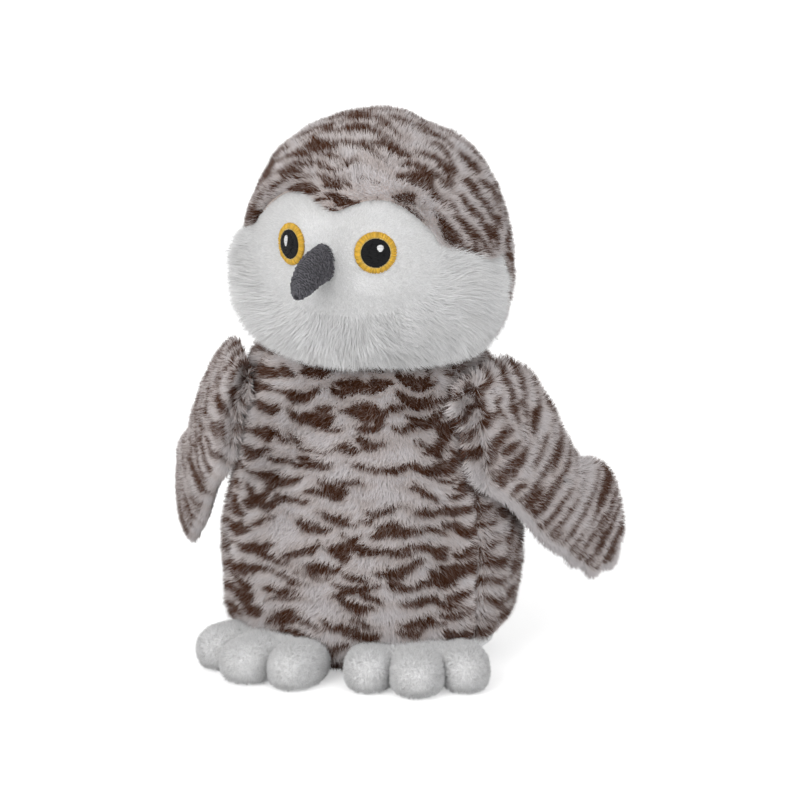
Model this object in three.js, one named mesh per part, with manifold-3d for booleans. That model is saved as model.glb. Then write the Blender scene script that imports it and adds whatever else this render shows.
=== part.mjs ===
// A stuffed toy owl that sits upright: plush covers over stuffing, wings and tail that hinge on a seam.
// Lengths are in millimetres. The owl faces -Y, its left side is +X and it stands on z = 0.
// Heights and half widths are those of the pile tips, so a cover is as thick as backing and pile together.

import * as THREE from "three";
import { mergeVertices } from "three/addons/utils/BufferGeometryUtils.js";
import Module from "manifold-3d";

// Overall sizes
const owlHeight = 240;
const neckHeight = 140;
const bodyWidth = 132;
const bodyDepth = 114;
const headWidth = 121;
const headDepth = 115;
const headTurnDegrees = 10;
const headShift = 3.2;

// Cloth and seams
const stripedPile = 7.5;
const shortPile = 3.2;
const ruffPile = 11;
const seamWidth = 0.3;
const weldDistance = 0.0001;
const knifeSpan = 500;
const knifeDepth = 30;
const knifeMargin = 4;

// Body: shares of its width, its depth and the neck height, from the base up to above the neck
const bodyProfileShares = [
  [0.7, 0.7, 0],
  [0.79, 0.79, 0.012],
  [0.87, 0.87, 0.035],
  [0.93, 0.93, 0.075],
  [0.975, 0.97, 0.135],
  [1, 1, 0.24],
  [0.995, 1, 0.37],
  [0.965, 0.975, 0.53],
  [0.92, 0.925, 0.7],
  [0.865, 0.86, 0.84],
  [0.81, 0.8, 0.925],
  [0.745, 0.73, 0.98],
  [0.64, 0.62, 1.03],
  [0.5, 0.48, 1.08],
];
const bodyRoundness = 2.25;
const bodyRings = 14;
const bodySides = 32;
const fillSides = 20;
const sideSeamDegrees = 62;
const baseSeamFront = 3.5;
const baseSeamBack = 12;

// Head: shares of its width, its depth and its height above the neck, from below the neck to the crown
const headProfileShares = [
  [0.6, 0.56, -0.1],
  [0.76, 0.73, -0.04],
  [0.85, 0.82, 0],
  [0.915, 0.895, 0.06],
  [0.965, 0.955, 0.145],
  [0.992, 0.99, 0.25],
  [1, 1, 0.37],
  [0.968, 0.968, 0.5],
  [0.9, 0.9, 0.63],
  [0.785, 0.785, 0.76],
  [0.61, 0.61, 0.875],
  [0.4, 0.4, 0.95],
  [0.19, 0.19, 0.989],
  [0.04, 0.04, 1],
];
const headRoundness = 2;
const headRings = 14;
const headSides = 32;
const hoodSeamBack = 20;
const ruffBack = 4;
const ruffFullHeight = 12;
const ruffFadeHeight = 50;

// Face outline seen from the front: shares of the half width and of the height above the neck
const faceOutlineShares = [
  [0, 0.675],
  [0.13, 0.705],
  [0.3, 0.735],
  [0.48, 0.71],
  [0.64, 0.635],
  [0.75, 0.55],
  [0.77, 0.45],
  [0.7, 0.35],
  [0.55, 0.28],
  [0.32, 0.235],
  [0, 0.22],
];
const faceOutlinePoints = 30;

// Upper edge of the ruff from the middle outwards, in the same shares
const ruffEdgeShares = [
  [0, 0.54],
  [0.72, 0.56],
  [0.86, 0.485],
  [1.02, 0.4],
  [1.5, 0.36],
];
const ruffSkirtShare = -0.3;

// Eyes: embroidered patches, turned outwards from the face
const eyeSpacing = 40;
const eyeHeight = 50;
const eyeTurnDegrees = 29;
const eyeTiltDegrees = 4;
const eyeRingDiameter = 19;
const pupilDiameter = 12.4;
const threadThickness = 1.5;
const threadProud = 0.5;
const threadBorder = 0.5;
const glintDiameter = 3;
const glintAcross = 2.2;
const glintUp = 2.4;
const glintThickness = 0.7;
const eyeSides = 18;

// Beak: a stuffed cone that hooks down
const beakHeight = 45.5;
const beakReach = 27;
const beakDrop = 9;
const beakWidth = 14;
const beakDepth = 19;
const beakOffset = 2;
const beakCloth = 2.4;
const beakRootInset = 7;
const beakTipShare = 0.98;
const beakRidgeShare = 0.22;
const beakPathShares = [
  [1, 0],
  [-0.4, -0.06],
  [-0.75, -0.42],
  [-1, -1],
];
const beakRings = 7;
const beakSides = 14;

// Feet: three toes in front of an instep, the middle one ahead of the others
const footSpacing = 67;
const footForward = 51;
const leftFootSplayDegrees = 14;
const rightFootSplayDegrees = 28;
const toeFanDegrees = 12;
const toeSpacing = 19.5;
const toeAdvance = 5;
const toeLength = 37;
const toeWidth = 24;
const toeHeight = 19.5;
const outerToeShare = 0.9;
const instepWidth = 48;
const instepLength = 34;
const instepSetback = 9;
const footFlat = 1.2;
const footSeamHeight = 7;
const toeSides = 12;
const toeBands = 7;
const footFillSides = 9;
const footFillBands = 6;

// Wings: an outline in the wing's own plane, as shares of its reach from the seam and of its height
const wingReach = 96;
const wingTop = 137;
const wingHeight = 113;
const wingSweepDegrees = 60;
const wingOuterBulge = 7.5;
const wingInnerBulge = 4.5;
const wingOuterPile = 5;
const wingInnerPile = 2.2;
const wingEdge = 0.8;
const wingFillMargin = 8;
const wingBow = 1.5;
const wingCup = 2.5;
const wingLean = 4;
const wingLeanStart = 8;
const wingLeanEnd = 45;
const wingRootTop = 136;
const wingRootBottom = 80;
const wingRootBlend = 100;
const wingHingeInset = 0.5;
const wingSwingOut = 60;
const wingSwingIn = 8;
const wingOutlineShares = [
  [-0.03, 0.15],
  [0.03, 0.05],
  [0.12, 0.005],
  [0.23, 0],
  [0.37, 0.075],
  [0.47, 0.2],
  [0.545, 0.335],
  [0.61, 0.43],
  [0.68, 0.495],
  [0.79, 0.52],
  [0.91, 0.605],
  [0.98, 0.74],
  [1, 0.85],
  [0.965, 0.93],
  [0.89, 0.965],
  [0.79, 0.965],
  [0.7, 0.92],
  [0.58, 0.855],
  [0.43, 0.775],
  [0.3, 0.665],
  [0.18, 0.57],
  [0.06, 0.5],
  [-0.03, 0.42],
];
const wingCentreShares = [0.5, 0.52];
const wingLobes = 3;
const wingLobeShares = [0.5, 0.655];
const wingLobeDepth = 3;
const wingOutlinePoints = 28;
const wingBands = 3;
const wingFillPoints = 14;

// Tail: a small flap low on the back, its half outline as shares of its half width and its length
const tailWidth = 46;
const tailLength = 34;
const tailUpperBulge = 5.5;
const tailLowerBulge = 4;
const tailUpperPile = 3.5;
const tailLowerPile = 2;
const tailFillMargin = 6;
const tailHingeHeight = 13.5;
const tailHingeInset = 1;
const tailDroopDegrees = 12;
const tailLift = 35;
const tailOutlineShares = [
  [0, -0.2],
  [0.55, -0.2],
  [0.86, -0.12],
  [0.96, 0.2],
  [1, 0.52],
  [0.9, 0.8],
  [0.5, 0.96],
  [0, 1],
];
const tailCentreShares = [0, 0.42];
const tailLobes = 3;
const tailLobeShares = [0.27, 0.73];
const tailLobeDepth = 2.2;
const tailOutlinePoints = 14;
const tailBands = 3;
const tailFillPoints = 10;

// Pellet pouch: rests on the base panel inside the stuffing
const pouchWidth = 74;
const pouchDepth = 62;
const pouchHeight = 26;
const pouchFlat = 2.5;
const pouchCloth = 1.2;
const pouchMouthDiameter = 12;
const pouchSides = 12;
const pouchBands = 6;

const swingStep = 24;
const lobeSteps = 4;
const fillLobeSteps = 1;
const fillBands = 2;
const half = 0.5;
const fullTurn = 2 * Math.PI;
const radians = (degrees) => THREE.MathUtils.degToRad(degrees);

// Materials
const cloth = (colour, roughness = 1) =>
  new THREE.MeshStandardMaterial({ color: colour, roughness, metalness: 0 });
const stripedCloth = cloth(0x9c8f8c);
const whiteCloth = cloth(0xe9e7e6);
const ruffCloth = cloth(0xf3f2f0);
const beakFabric = cloth(0x66666c);
const yellowThread = cloth(0xe8b020, 0.6);
const blackThread = cloth(0x0d0d10, 0.5);
const whiteThread = cloth(0xffffff, 0.5);
const fibre = cloth(0xfafafa);
const pouchFabric = cloth(0xdedbd2);
const pelletPlastic = cloth(0xc9c6bd, 0.6);

const wasm = await Module();
wasm.setup();

// Makes a closed geometry ready to be cut.
function solidOf(geometry) {
  const bare = geometry.clone();
  bare.deleteAttribute("normal");
  bare.deleteAttribute("uv");
  const merged = mergeVertices(bare, weldDistance);
  const mesh = new wasm.Mesh({
    numProp: 3,
    vertProperties: new Float32Array(merged.attributes.position.array),
    triVerts: new Uint32Array(merged.index.array),
  });
  return new wasm.Manifold(mesh);
}

function geometryOf(solid) {
  const mesh = solid.getMesh();
  const geometry = new THREE.BufferGeometry();
  geometry.setAttribute("position", new THREE.BufferAttribute(new Float32Array(mesh.vertProperties), 3));
  geometry.setIndex(new THREE.BufferAttribute(new Uint32Array(mesh.triVerts), 1));
  geometry.computeVertexNormals();
  return geometry;
}

// The same shape on the owl's other side.
function mirrored(geometry) {
  const copy = geometry.clone();
  copy.scale(-1, 1, 1);
  const index = copy.index.array;
  for (let k = 0; k < index.length; k += 3) {
    const first = index[k];
    index[k] = index[k + 1];
    index[k + 1] = first;
  }
  copy.computeVertexNormals();
  return copy;
}

function meshOf(name, solid, material) {
  const mesh = new THREE.Mesh(geometryOf(solid), material);
  mesh.name = name;
  return mesh;
}

// A left piece and its mirror image on the right.
function pairOf(name, solid, material) {
  const left = meshOf(`left_${name}`, solid, material);
  const right = new THREE.Mesh(mirrored(left.geometry), material);
  right.name = `right_${name}`;
  return [left, right];
}

// Skins a stack of rings, each a list of points that run anticlockwise seen from the last ring.
function loft(rings) {
  const sides = rings[0].length;
  const positions = rings.flat().flatMap((point) => point.toArray());
  const index = [];
  for (let k = 0; k < rings.length - 1; k += 1) {
    for (let i = 0; i < sides; i += 1) {
      const a = k * sides + i;
      const b = k * sides + ((i + 1) % sides);
      index.push(a, b, b + sides, a, b + sides, a + sides);
    }
  }
  const middle = (ring) =>
    ring.reduce((sum, point) => sum.add(point), new THREE.Vector3()).divideScalar(sides);
  positions.push(...middle(rings[0]).toArray(), ...middle(rings[rings.length - 1]).toArray());
  const first = rings.length * sides;
  const last = first - sides;
  for (let i = 0; i < sides; i += 1) {
    const j = (i + 1) % sides;
    index.push(first, j, i, first + 1, last + i, last + j);
  }
  const geometry = new THREE.BufferGeometry();
  geometry.setAttribute("position", new THREE.Float32BufferAttribute(positions, 3));
  geometry.setIndex(index);
  return geometry;
}

// A smooth profile through share points: half width, half depth, height and the outward slope at each.
function profileOf(shares, rings, width, depth, height, floor) {
  const points = shares.map(
    ([w, d, h]) => new THREE.Vector3(w * width * half, d * depth * half, floor + h * height),
  );
  const curve = new THREE.CatmullRomCurve3(points, false, "centripetal");
  return Array.from({ length: rings }, (_, k) => {
    const share = k / (rings - 1);
    const along = curve.getTangentAt(share);
    const slope = Math.hypot(along.x, along.z);
    return { at: curve.getPointAt(share), out: along.z / slope, up: -along.x / slope };
  });
}

// A rounded oval solid, grown or shrunk by an offset along its outward slope at each height.
function ovalSolid(profile, sides, roundness, offsetAt) {
  const bend = (value) => Math.sign(value) * Math.abs(value) ** (2 / roundness);
  const rings = profile.map(({ at, out, up }) => {
    const offset = offsetAt(at.z);
    return Array.from({ length: sides }, (_, i) => {
      const angle = fullTurn * i / sides;
      return new THREE.Vector3(
        (at.x + offset * out) * bend(Math.cos(angle)),
        (at.y + offset * out) * bend(Math.sin(angle)),
        at.z + offset * up,
      );
    });
  });
  return solidOf(loft(rings));
}

// Half width, half depth and outward slope of a profile at a height.
function sectionAt(profile, height) {
  const above = profile.findIndex(({ at }) => at.z > height);
  const k = above < 1 ? 1 : above;
  const low = profile[k - 1];
  const high = profile[k];
  const share = THREE.MathUtils.clamp((height - low.at.z) / (high.at.z - low.at.z), 0, 1);
  const mix = (a, b) => a + share * (b - a);
  return { width: mix(low.at.x, high.at.x), depth: mix(low.at.y, high.at.y), out: mix(low.out, high.out) };
}

// Block that holds everything between two heights.
function slab(low, high) {
  const geometry = new THREE.BoxGeometry(knifeSpan, knifeSpan, high - low);
  geometry.translate(0, 0, (low + high) * half);
  return solidOf(geometry);
}

// Block that holds everything behind a depth.
function aft(front) {
  const geometry = new THREE.BoxGeometry(knifeSpan, knifeSpan, knifeSpan);
  geometry.translate(0, front + knifeSpan * half, 0);
  return solidOf(geometry);
}

// A flat outline as long as the knives reach.
function extended(outline) {
  return new THREE.ExtrudeGeometry(new THREE.Shape(outline), { depth: knifeSpan, bevelEnabled: false });
}

// A flat outline in X and Y, extended upwards from below the floor.
function upright(outline) {
  const geometry = extended(outline);
  geometry.translate(0, 0, -knifeSpan * half);
  return solidOf(geometry);
}

// A flat outline in X and Z, extended forwards from a depth.
function forward(outline, back) {
  const geometry = extended(outline);
  geometry.rotateX(fullTurn / 4);
  geometry.translate(0, back, 0);
  return solidOf(geometry);
}

function ellipsoid(width, length, height, sides, bands) {
  const geometry = new THREE.SphereGeometry(1, sides, bands);
  geometry.rotateX(fullTurn / 4);
  geometry.scale(width * half, length * half, height * half);
  return geometry;
}

// Moves each point of a flat outline away from a centre.
function grown(outline, centre, distance) {
  return outline.map((point) => {
    const away = point.clone().sub(centre);
    return point.clone().add(away.setLength(distance));
  });
}

// A closed smooth outline through share points, run anticlockwise, with round lobes along one stretch
// and a count of points on the rest.
function lobedOutline(shares, count, centre, lobes, lobeShares, lobeDepth, lobeSteps) {
  const points = shares.map(([x, y]) => new THREE.Vector3(x, y, 0));
  const curve = new THREE.CatmullRomCurve3(points, true, "centripetal");
  const [from, to] = lobeShares;
  const flatAt = (share) => {
    const { x, y } = curve.getPointAt(share % 1);
    return new THREE.Vector2(x, y);
  };
  const plain = Array.from({ length: count }, (_, k) => flatAt(to + (1 + from - to) * k / count));
  const steps = lobes * lobeSteps;
  const scalloped = Array.from({ length: steps }, (_, k) => {
    const point = flatAt(from + (to - from) * k / steps);
    const bump = Math.abs(Math.sin(fullTurn * half * k / lobeSteps));
    return point.add(point.clone().sub(centre).setLength(lobeDepth * (bump - half)));
  });
  const outline = [...plain, ...scalloped];
  return THREE.ShapeUtils.isClockWise(outline) ? outline.reverse() : outline;
}

// A pillow over a flat outline: place turns a flat point and a thickness into a point in space.
function pillow(outline, centre, bands, place, lowAt, highAt) {
  const ring = (share, thickness) =>
    outline.map((point) => place(centre.clone().lerp(point, share), thickness));
  const shares = Array.from({ length: bands }, (_, k) => Math.sin(fullTurn / 4 * (k + 1) / bands));
  const under = shares.map((share) => ring(share, lowAt(share)));
  const over = shares.map((share) => ring(share, highAt(share))).reverse();
  return solidOf(loft([...under, ...over]));
}

// How far a pillow swells at a share of the way from its centre to its edge.
const swell = (bulge, edge) => (share) => edge + (bulge - edge) * Math.sqrt(1 - share ** 3);

// Splits a pillow at its middle surface, with a gap, into its upper and its lower half.
function halves(whole, outline, centre, bands, place) {
  const below = (level) => pillow(outline, centre, bands, place, () => -knifeDepth, () => level);
  return [whole.subtract(below(seamWidth * half)), whole.intersect(below(-seamWidth * half))];
}

// A solid turned about a line in space.
function turned(solid, through, along, angle) {
  const move = new THREE.Matrix4().makeTranslation(through);
  move.multiply(new THREE.Matrix4().makeRotationAxis(along, angle));
  move.multiply(new THREE.Matrix4().makeTranslation(through.clone().negate()));
  return solidOf(geometryOf(solid).applyMatrix4(move));
}

// The room that a fixed solid takes up in the frame of a flap that swings between two angles.
function sweptRoom(fixed, through, along, from, to) {
  const steps = Math.ceil((to - from) / swingStep);
  let room = turned(fixed, through, along, -radians(from));
  for (let k = 1; k <= steps; k += 1) {
    room = room.add(turned(fixed, through, along, -radians(from + (to - from) * k / steps)));
  }
  return room;
}

const bodyProfile = profileOf(bodyProfileShares, bodyRings, bodyWidth, bodyDepth, neckHeight, 0);
const headProfile = profileOf(
  headProfileShares,
  headRings,
  headWidth,
  headDepth,
  owlHeight - neckHeight,
  neckHeight,
);

// Thickness of the body's covers at a height: short pile on the base, striped pile above it.
function bodyCover(height) {
  const share = THREE.MathUtils.smoothstep(height, baseSeamFront, baseSeamBack);
  return shortPile + share * (stripedPile - shortPile);
}

const bodyOval = (offset) => ovalSolid(bodyProfile, bodySides, bodyRoundness, () => offset);
const headOval = (offset) => ovalSolid(headProfile, headSides, headRoundness, () => offset);

// Space inside the covers, kept clear of them by a margin.
const bodyInside = (margin) =>
  ovalSolid(bodyProfile, fillSides, bodyRoundness, (height) => -bodyCover(height) - margin);
const headInside = (margin) =>
  ovalSolid(headProfile, fillSides, headRoundness, () => -stripedPile - margin);
const belowNeck = slab(-knifeSpan * half, neckHeight - seamWidth * half);
const aboveNeck = slab(neckHeight + seamWidth * half, knifeSpan);
const bodyRoom = bodyOval(seamWidth).intersect(belowNeck);

// Distance from the body's axis to its surface at the side seam.
function seamRadius(height) {
  const { width, depth } = sectionAt(bodyProfile, height);
  const seam = radians(sideSeamDegrees);
  const across = (Math.sin(seam) / width) ** bodyRoundness;
  const fore = (Math.cos(seam) / depth) ** bodyRoundness;
  return (across + fore) ** (-1 / bodyRoundness);
}

// Body covers, stuffing and ballast

function baseKnife(shift) {
  const rise = Math.atan2(baseSeamBack - baseSeamFront, bodyDepth);
  const geometry = new THREE.BoxGeometry(knifeSpan, knifeSpan, knifeSpan);
  geometry.translate(0, 0, -knifeSpan * half);
  geometry.rotateX(rise);
  geometry.translate(0, 0, (baseSeamFront + baseSeamBack) * half + shift);
  return solidOf(geometry);
}

function frontKnife(shift) {
  const seam = radians(sideSeamDegrees);
  const side = new THREE.Vector2(knifeSpan * Math.sin(seam), -knifeSpan * Math.cos(seam) + shift);
  return upright([
    new THREE.Vector2(0, shift),
    new THREE.Vector2(-side.x, side.y),
    new THREE.Vector2(-side.x, -knifeSpan),
    new THREE.Vector2(side.x, -knifeSpan),
    side,
  ]);
}

function leftKnife() {
  const geometry = new THREE.BoxGeometry(knifeSpan, 2 * knifeSpan, knifeSpan);
  geometry.translate((knifeSpan + seamWidth) * half, 0, 0);
  return solidOf(geometry);
}

// The pouch's round shape with its cloth taken off to a depth.
function pouchOval(margin) {
  const trim = 2 * margin;
  const geometry = ellipsoid(
    pouchWidth - trim,
    pouchDepth - trim,
    pouchHeight - trim,
    pouchSides,
    pouchBands,
  );
  geometry.translate(0, 0, shortPile + seamWidth + pouchHeight * half - pouchFlat);
  return solidOf(geometry);
}

// The same, flat where it rests on the base panel.
const pouchSolid = (margin) => pouchOval(margin).intersect(slab(shortPile + seamWidth + margin, neckHeight));

function pouchMouth() {
  const radius = pouchMouthDiameter * half;
  const geometry = new THREE.CylinderGeometry(radius, radius, pouchHeight, pouchSides);
  geometry.rotateX(fullTurn / 4);
  geometry.translate(0, 0, shortPile + pouchHeight);
  return solidOf(geometry);
}

function bodyPieces() {
  const shell = bodyOval(0)
    .intersect(slab(0, neckHeight - seamWidth * half))
    .subtract(bodyInside(-seamWidth));
  const upper = shell.subtract(baseKnife(seamWidth * half));
  const back = upper.subtract(frontKnife(seamWidth));
  const pouch = pouchSolid(0).subtract(pouchSolid(pouchCloth)).subtract(pouchMouth());
  return [
    meshOf("body_front_panel", upper.intersect(frontKnife(0)), stripedCloth),
    ...pairOf("back_panel", back.intersect(leftKnife()), stripedCloth),
    meshOf("base_panel", shell.intersect(baseKnife(-seamWidth * half)), whiteCloth),
    meshOf("body_stuffing", bodyInside(0).intersect(belowNeck).subtract(pouchOval(-seamWidth)), fibre),
    meshOf("pellet_pouch", pouch, pouchFabric),
    meshOf("pellets", pouchSolid(pouchCloth + seamWidth), pelletPlastic),
  ];
}

// Head covers and stuffing

const headHeight = owlHeight - neckHeight;

// How far the ruff's long pile stands proud of the hood at a height.
function ruffProud(height) {
  const low = neckHeight + ruffFullHeight;
  return (ruffPile - stripedPile) * (1 - THREE.MathUtils.smoothstep(height, low, low + ruffFadeHeight));
}

// A point of the front view, from shares of the half width and of the height above the neck.
const frontPoint = ([x, z]) => new THREE.Vector2(x * headWidth * half, neckHeight + z * headHeight);
const acrossMiddle = (point) => new THREE.Vector2(-point.x, point.y);

function faceKnife(margin) {
  const right = faceOutlineShares.map(frontPoint);
  const left = right.slice(1, -1).reverse().map(acrossMiddle);
  const points = [...right, ...left].map((point) => new THREE.Vector3(point.x, point.y, 0));
  const curve = new THREE.CatmullRomCurve3(points, true, "centripetal");
  const outline = Array.from({ length: faceOutlinePoints }, (_, k) => {
    const { x, y } = curve.getPointAt(k / faceOutlinePoints);
    return new THREE.Vector2(x, y);
  });
  const centre = new THREE.Vector2(0, neckHeight + eyeHeight);
  return forward(grown(outline, centre, margin), 0);
}

function ruffKnife(margin) {
  const edge = ruffEdgeShares.map(frontPoint).map((point) => point.setY(point.y + margin));
  const farthest = edge[edge.length - 1];
  const skirt = frontPoint([0, ruffSkirtShare]);
  return forward(
    [
      new THREE.Vector2(farthest.x, skirt.y),
      ...edge.slice().reverse(),
      ...edge.slice(1).map(acrossMiddle),
      new THREE.Vector2(-farthest.x, skirt.y),
    ],
    ruffBack + margin,
  );
}

const faceSurface = shortPile - stripedPile;

// Turns a patch's own axes, with its face along +Z, into its place on the left of the face.
function eyePlace() {
  const { width, depth, out } = sectionAt(headProfile, neckHeight + eyeHeight);
  const across = eyeSpacing * half;
  const halfWidth = width + faceSurface * out;
  const halfDepth = depth + faceSurface * out;
  const front = -halfDepth * Math.sqrt(1 - (across / halfWidth) ** 2);
  const turn = radians(eyeTurnDegrees);
  const tilt = radians(eyeTiltDegrees);
  const normal = new THREE.Vector3(
    Math.sin(turn) * Math.cos(tilt),
    -Math.cos(turn) * Math.cos(tilt),
    Math.sin(tilt),
  );
  const side = new THREE.Vector3(Math.cos(turn), Math.sin(turn), 0);
  const up = new THREE.Vector3().crossVectors(normal, side);
  const place = new THREE.Matrix4().makeBasis(side, up, normal);
  return place.setPosition(across, front, neckHeight + eyeHeight);
}

// A flat round patch or ring of thread with a rounded border.
function threadPatch(inner, outer, low, high) {
  const profile = [
    new THREE.Vector2(inner, low),
    new THREE.Vector2(outer, low),
    new THREE.Vector2(outer, high - threadBorder),
    new THREE.Vector2(outer - threadBorder, high),
    new THREE.Vector2(inner + threadBorder * Math.sign(inner), high),
    new THREE.Vector2(inner, high - threadBorder * Math.sign(inner)),
  ];
  if (inner > 0) {
    profile.push(profile[0].clone());
  }
  const geometry = new THREE.LatheGeometry(profile, eyeSides);
  geometry.rotateX(fullTurn / 4);
  return geometry;
}

function eyeSolids() {
  const place = eyePlace();
  const low = threadProud - threadThickness;
  const ring = threadPatch(pupilDiameter * half + seamWidth, eyeRingDiameter * half, low, threadProud);
  const pupil = threadPatch(0, pupilDiameter * half, low, threadProud);
  const glintLow = threadProud + seamWidth;
  const glint = threadPatch(0, glintDiameter * half, glintLow, glintLow + glintThickness);
  glint.translate(glintAcross, glintUp, 0);
  const pocket = threadPatch(0, eyeRingDiameter * half + seamWidth, low - seamWidth, stripedPile);
  const [ringSolid, pupilSolid, glintSolid, pocketSolid] = [ring, pupil, glint, pocket].map((geometry) =>
    solidOf(geometry.applyMatrix4(place)),
  );
  return { ringSolid, pupilSolid, glintSolid, pocketSolid };
}

// The beak's shape with its cloth taken off to a depth.
function beakSolid(margin) {
  const { depth, out } = sectionAt(headProfile, neckHeight + beakHeight);
  const root = -(depth + faceSurface * out);
  const points = beakPathShares.map(([forwards, down]) => {
    const reach = forwards > 0 ? beakRootInset : beakReach;
    return new THREE.Vector3(0, root + forwards * reach, neckHeight + beakHeight + down * beakDrop);
  });
  const path = new THREE.CatmullRomCurve3(points, false, "centripetal");
  const reachShare = 1 - margin / path.getLength();
  const rings = Array.from({ length: beakRings }, (_, k) => {
    const share = Math.sin(fullTurn / 4 * k / (beakRings - 1));
    const taper = Math.sqrt(1 - (share * beakTipShare) ** 4);
    const centre = path.getPointAt(share * reachShare);
    const along = path.getTangentAt(share * reachShare);
    const up = new THREE.Vector3(0, -along.z, along.y).negate();
    const halfWidth = (beakWidth * half - margin) * taper;
    const halfDepth = (beakDepth * half - margin) * taper;
    return Array.from({ length: beakSides }, (_, i) => {
      const angle = fullTurn * i / beakSides;
      const ridge = 1 - beakRidgeShare * Math.sin(angle);
      const point = centre.clone().addScaledVector(up, halfDepth * Math.sin(angle));
      point.x = halfWidth * ridge * Math.cos(angle) - beakOffset;
      return point;
    });
  });
  return solidOf(loft(rings));
}

function headPieces() {
  const coverOf = (outside) => outside.intersect(aboveNeck).subtract(headInside(-seamWidth));
  const eye = eyeSolids();
  const bothPockets = eye.pocketSolid.add(solidOf(mirrored(geometryOf(eye.pocketSolid))));
  const ruffOval = ovalSolid(headProfile, headSides, headRoundness, ruffProud);
  const hood = coverOf(headOval(0)).subtract(faceKnife(seamWidth)).subtract(ruffKnife(seamWidth));
  const ruff = coverOf(ruffOval).intersect(ruffKnife(0)).subtract(faceKnife(seamWidth));
  const face = coverOf(headOval(faceSurface)).intersect(faceKnife(0)).subtract(bothPockets);
  const faceRoom = headOval(faceSurface + seamWidth);
  const beak = beakSolid(0).subtract(beakSolid(beakCloth - seamWidth)).subtract(faceRoom);
  return [
    meshOf("hood_front", hood.subtract(aft(hoodSeamBack - seamWidth * half)), stripedCloth),
    meshOf("hood_back", hood.intersect(aft(hoodSeamBack + seamWidth * half)), stripedCloth),
    meshOf("face_panel", face, whiteCloth),
    meshOf("ruff", ruff, ruffCloth),
    meshOf("head_stuffing", headInside(0).intersect(aboveNeck), fibre),
    meshOf("beak_cover", beak, beakFabric),
    meshOf("beak_stuffing", beakSolid(beakCloth).subtract(faceRoom), fibre),
    ...pairOf("eye_ring", eye.ringSolid, yellowThread),
    ...pairOf("eye_pupil", eye.pupilSolid, blackThread),
    ...pairOf("eye_glint", eye.glintSolid, whiteThread),
  ];
}

// Feet

// The left foot at a splay, with its cloth taken off to a depth.
function footSolid(splay, margin, sides, bands) {
  const trim = 2 * margin;
  const lift = toeHeight * half - footFlat;
  const part = (width, length, fan, across, ahead) => {
    const geometry = ellipsoid(width - trim, length - trim, toeHeight - trim, sides, bands);
    geometry.rotateZ(fan);
    geometry.translate(across, -ahead, 0);
    geometry.rotateZ(radians(splay));
    geometry.translate(footSpacing * half, -footForward, lift);
    return solidOf(geometry);
  };
  const fan = radians(toeFanDegrees);
  const outerWidth = toeWidth * outerToeShare;
  const outerLength = toeLength * outerToeShare;
  return part(instepWidth, instepLength, 0, 0, -instepSetback)
    .add(part(toeWidth, toeLength, 0, 0, toeAdvance))
    .add(part(outerWidth, outerLength, fan, toeSpacing, 0))
    .add(part(outerWidth, outerLength, -fan, -toeSpacing, 0))
    .intersect(slab(margin, knifeSpan));
}

function footPieces(side, splay) {
  const fill = (margin) => footSolid(splay, shortPile - margin, footFillSides, footFillBands);
  const shell = footSolid(splay, 0, toeSides, toeBands).subtract(fill(seamWidth)).subtract(bodyRoom);
  const place = side === "left" ? (solid) => solid : (solid) => solidOf(mirrored(geometryOf(solid)));
  const above = slab(footSeamHeight + seamWidth * half, knifeSpan);
  const below = slab(0, footSeamHeight - seamWidth * half);
  return [
    meshOf(`${side}_foot_top`, place(shell.intersect(above)), whiteCloth),
    meshOf(`${side}_foot_sole`, place(shell.intersect(below)), whiteCloth),
    meshOf(`${side}_foot_stuffing`, place(fill(0).subtract(bodyRoom)), fibre),
  ];
}

// Wings

const seamAngle = radians(sideSeamDegrees);
const seamOutward = new THREE.Vector3(Math.sin(seamAngle), -Math.cos(seamAngle), 0);

// A point on the side seam at a height, moved out of the body or into it.
function seamPoint(height, inset) {
  return seamOutward.clone().setLength(seamRadius(height) - inset).setZ(height);
}

// Turns a flat point of the wing, as reach and height shares, and a thickness into a point in space.
function wingPlace(flat, thickness) {
  const sweep = radians(wingSweepDegrees);
  const away = new THREE.Vector3(Math.cos(sweep), Math.sin(sweep), 0);
  const outward = new THREE.Vector3(Math.sin(sweep), -Math.cos(sweep), 0);
  const reach = flat.x * wingReach;
  const height = wingTop - flat.y * wingHeight;
  const rootMiddle = seamPoint((wingRootTop + wingRootBottom) * half, 0).setZ(0);
  const rootHeight = THREE.MathUtils.clamp(height, wingRootBottom, wingRootTop);
  const onBody = seamRadius(rootHeight) - rootMiddle.length();
  const fade = 1 - THREE.MathUtils.clamp(reach / wingRootBlend, 0, 1);
  const share = THREE.MathUtils.clamp(flat.x, 0, 1);
  const bow = wingBow * Math.sin(fullTurn * half * share) - wingCup * share ** 2;
  const leanHeight = THREE.MathUtils.smoothstep(height, wingRootBottom, wingTop);
  const leanReach = THREE.MathUtils.smoothstep(reach, wingLeanStart, wingLeanEnd);
  const lean = wingLean * leanHeight * leanReach;
  return rootMiddle
    .addScaledVector(away, reach)
    .addScaledVector(outward, onBody * fade + bow - lean + thickness)
    .setZ(height);
}

// The outline drawn in by a distance, in shares of the wing's reach and height.
function wingOutline(margin, count, steps) {
  const centre = new THREE.Vector2(...wingCentreShares);
  const size = new THREE.Vector2(wingReach, wingHeight);
  const outline = lobedOutline(
    wingOutlineShares,
    count,
    centre,
    wingLobes,
    wingLobeShares,
    wingLobeDepth / wingReach,
    steps,
  );
  const drawn = grown(
    outline.map((point) => point.multiply(size)),
    centre.clone().multiply(size),
    -margin,
  );
  return drawn.map((point) => point.divide(size)).reverse();
}

function wingHinge() {
  const top = seamPoint(wingRootTop, wingHingeInset);
  const bottom = seamPoint(wingRootBottom, wingHingeInset);
  return { through: bottom, along: top.clone().sub(bottom).normalize() };
}

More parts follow.
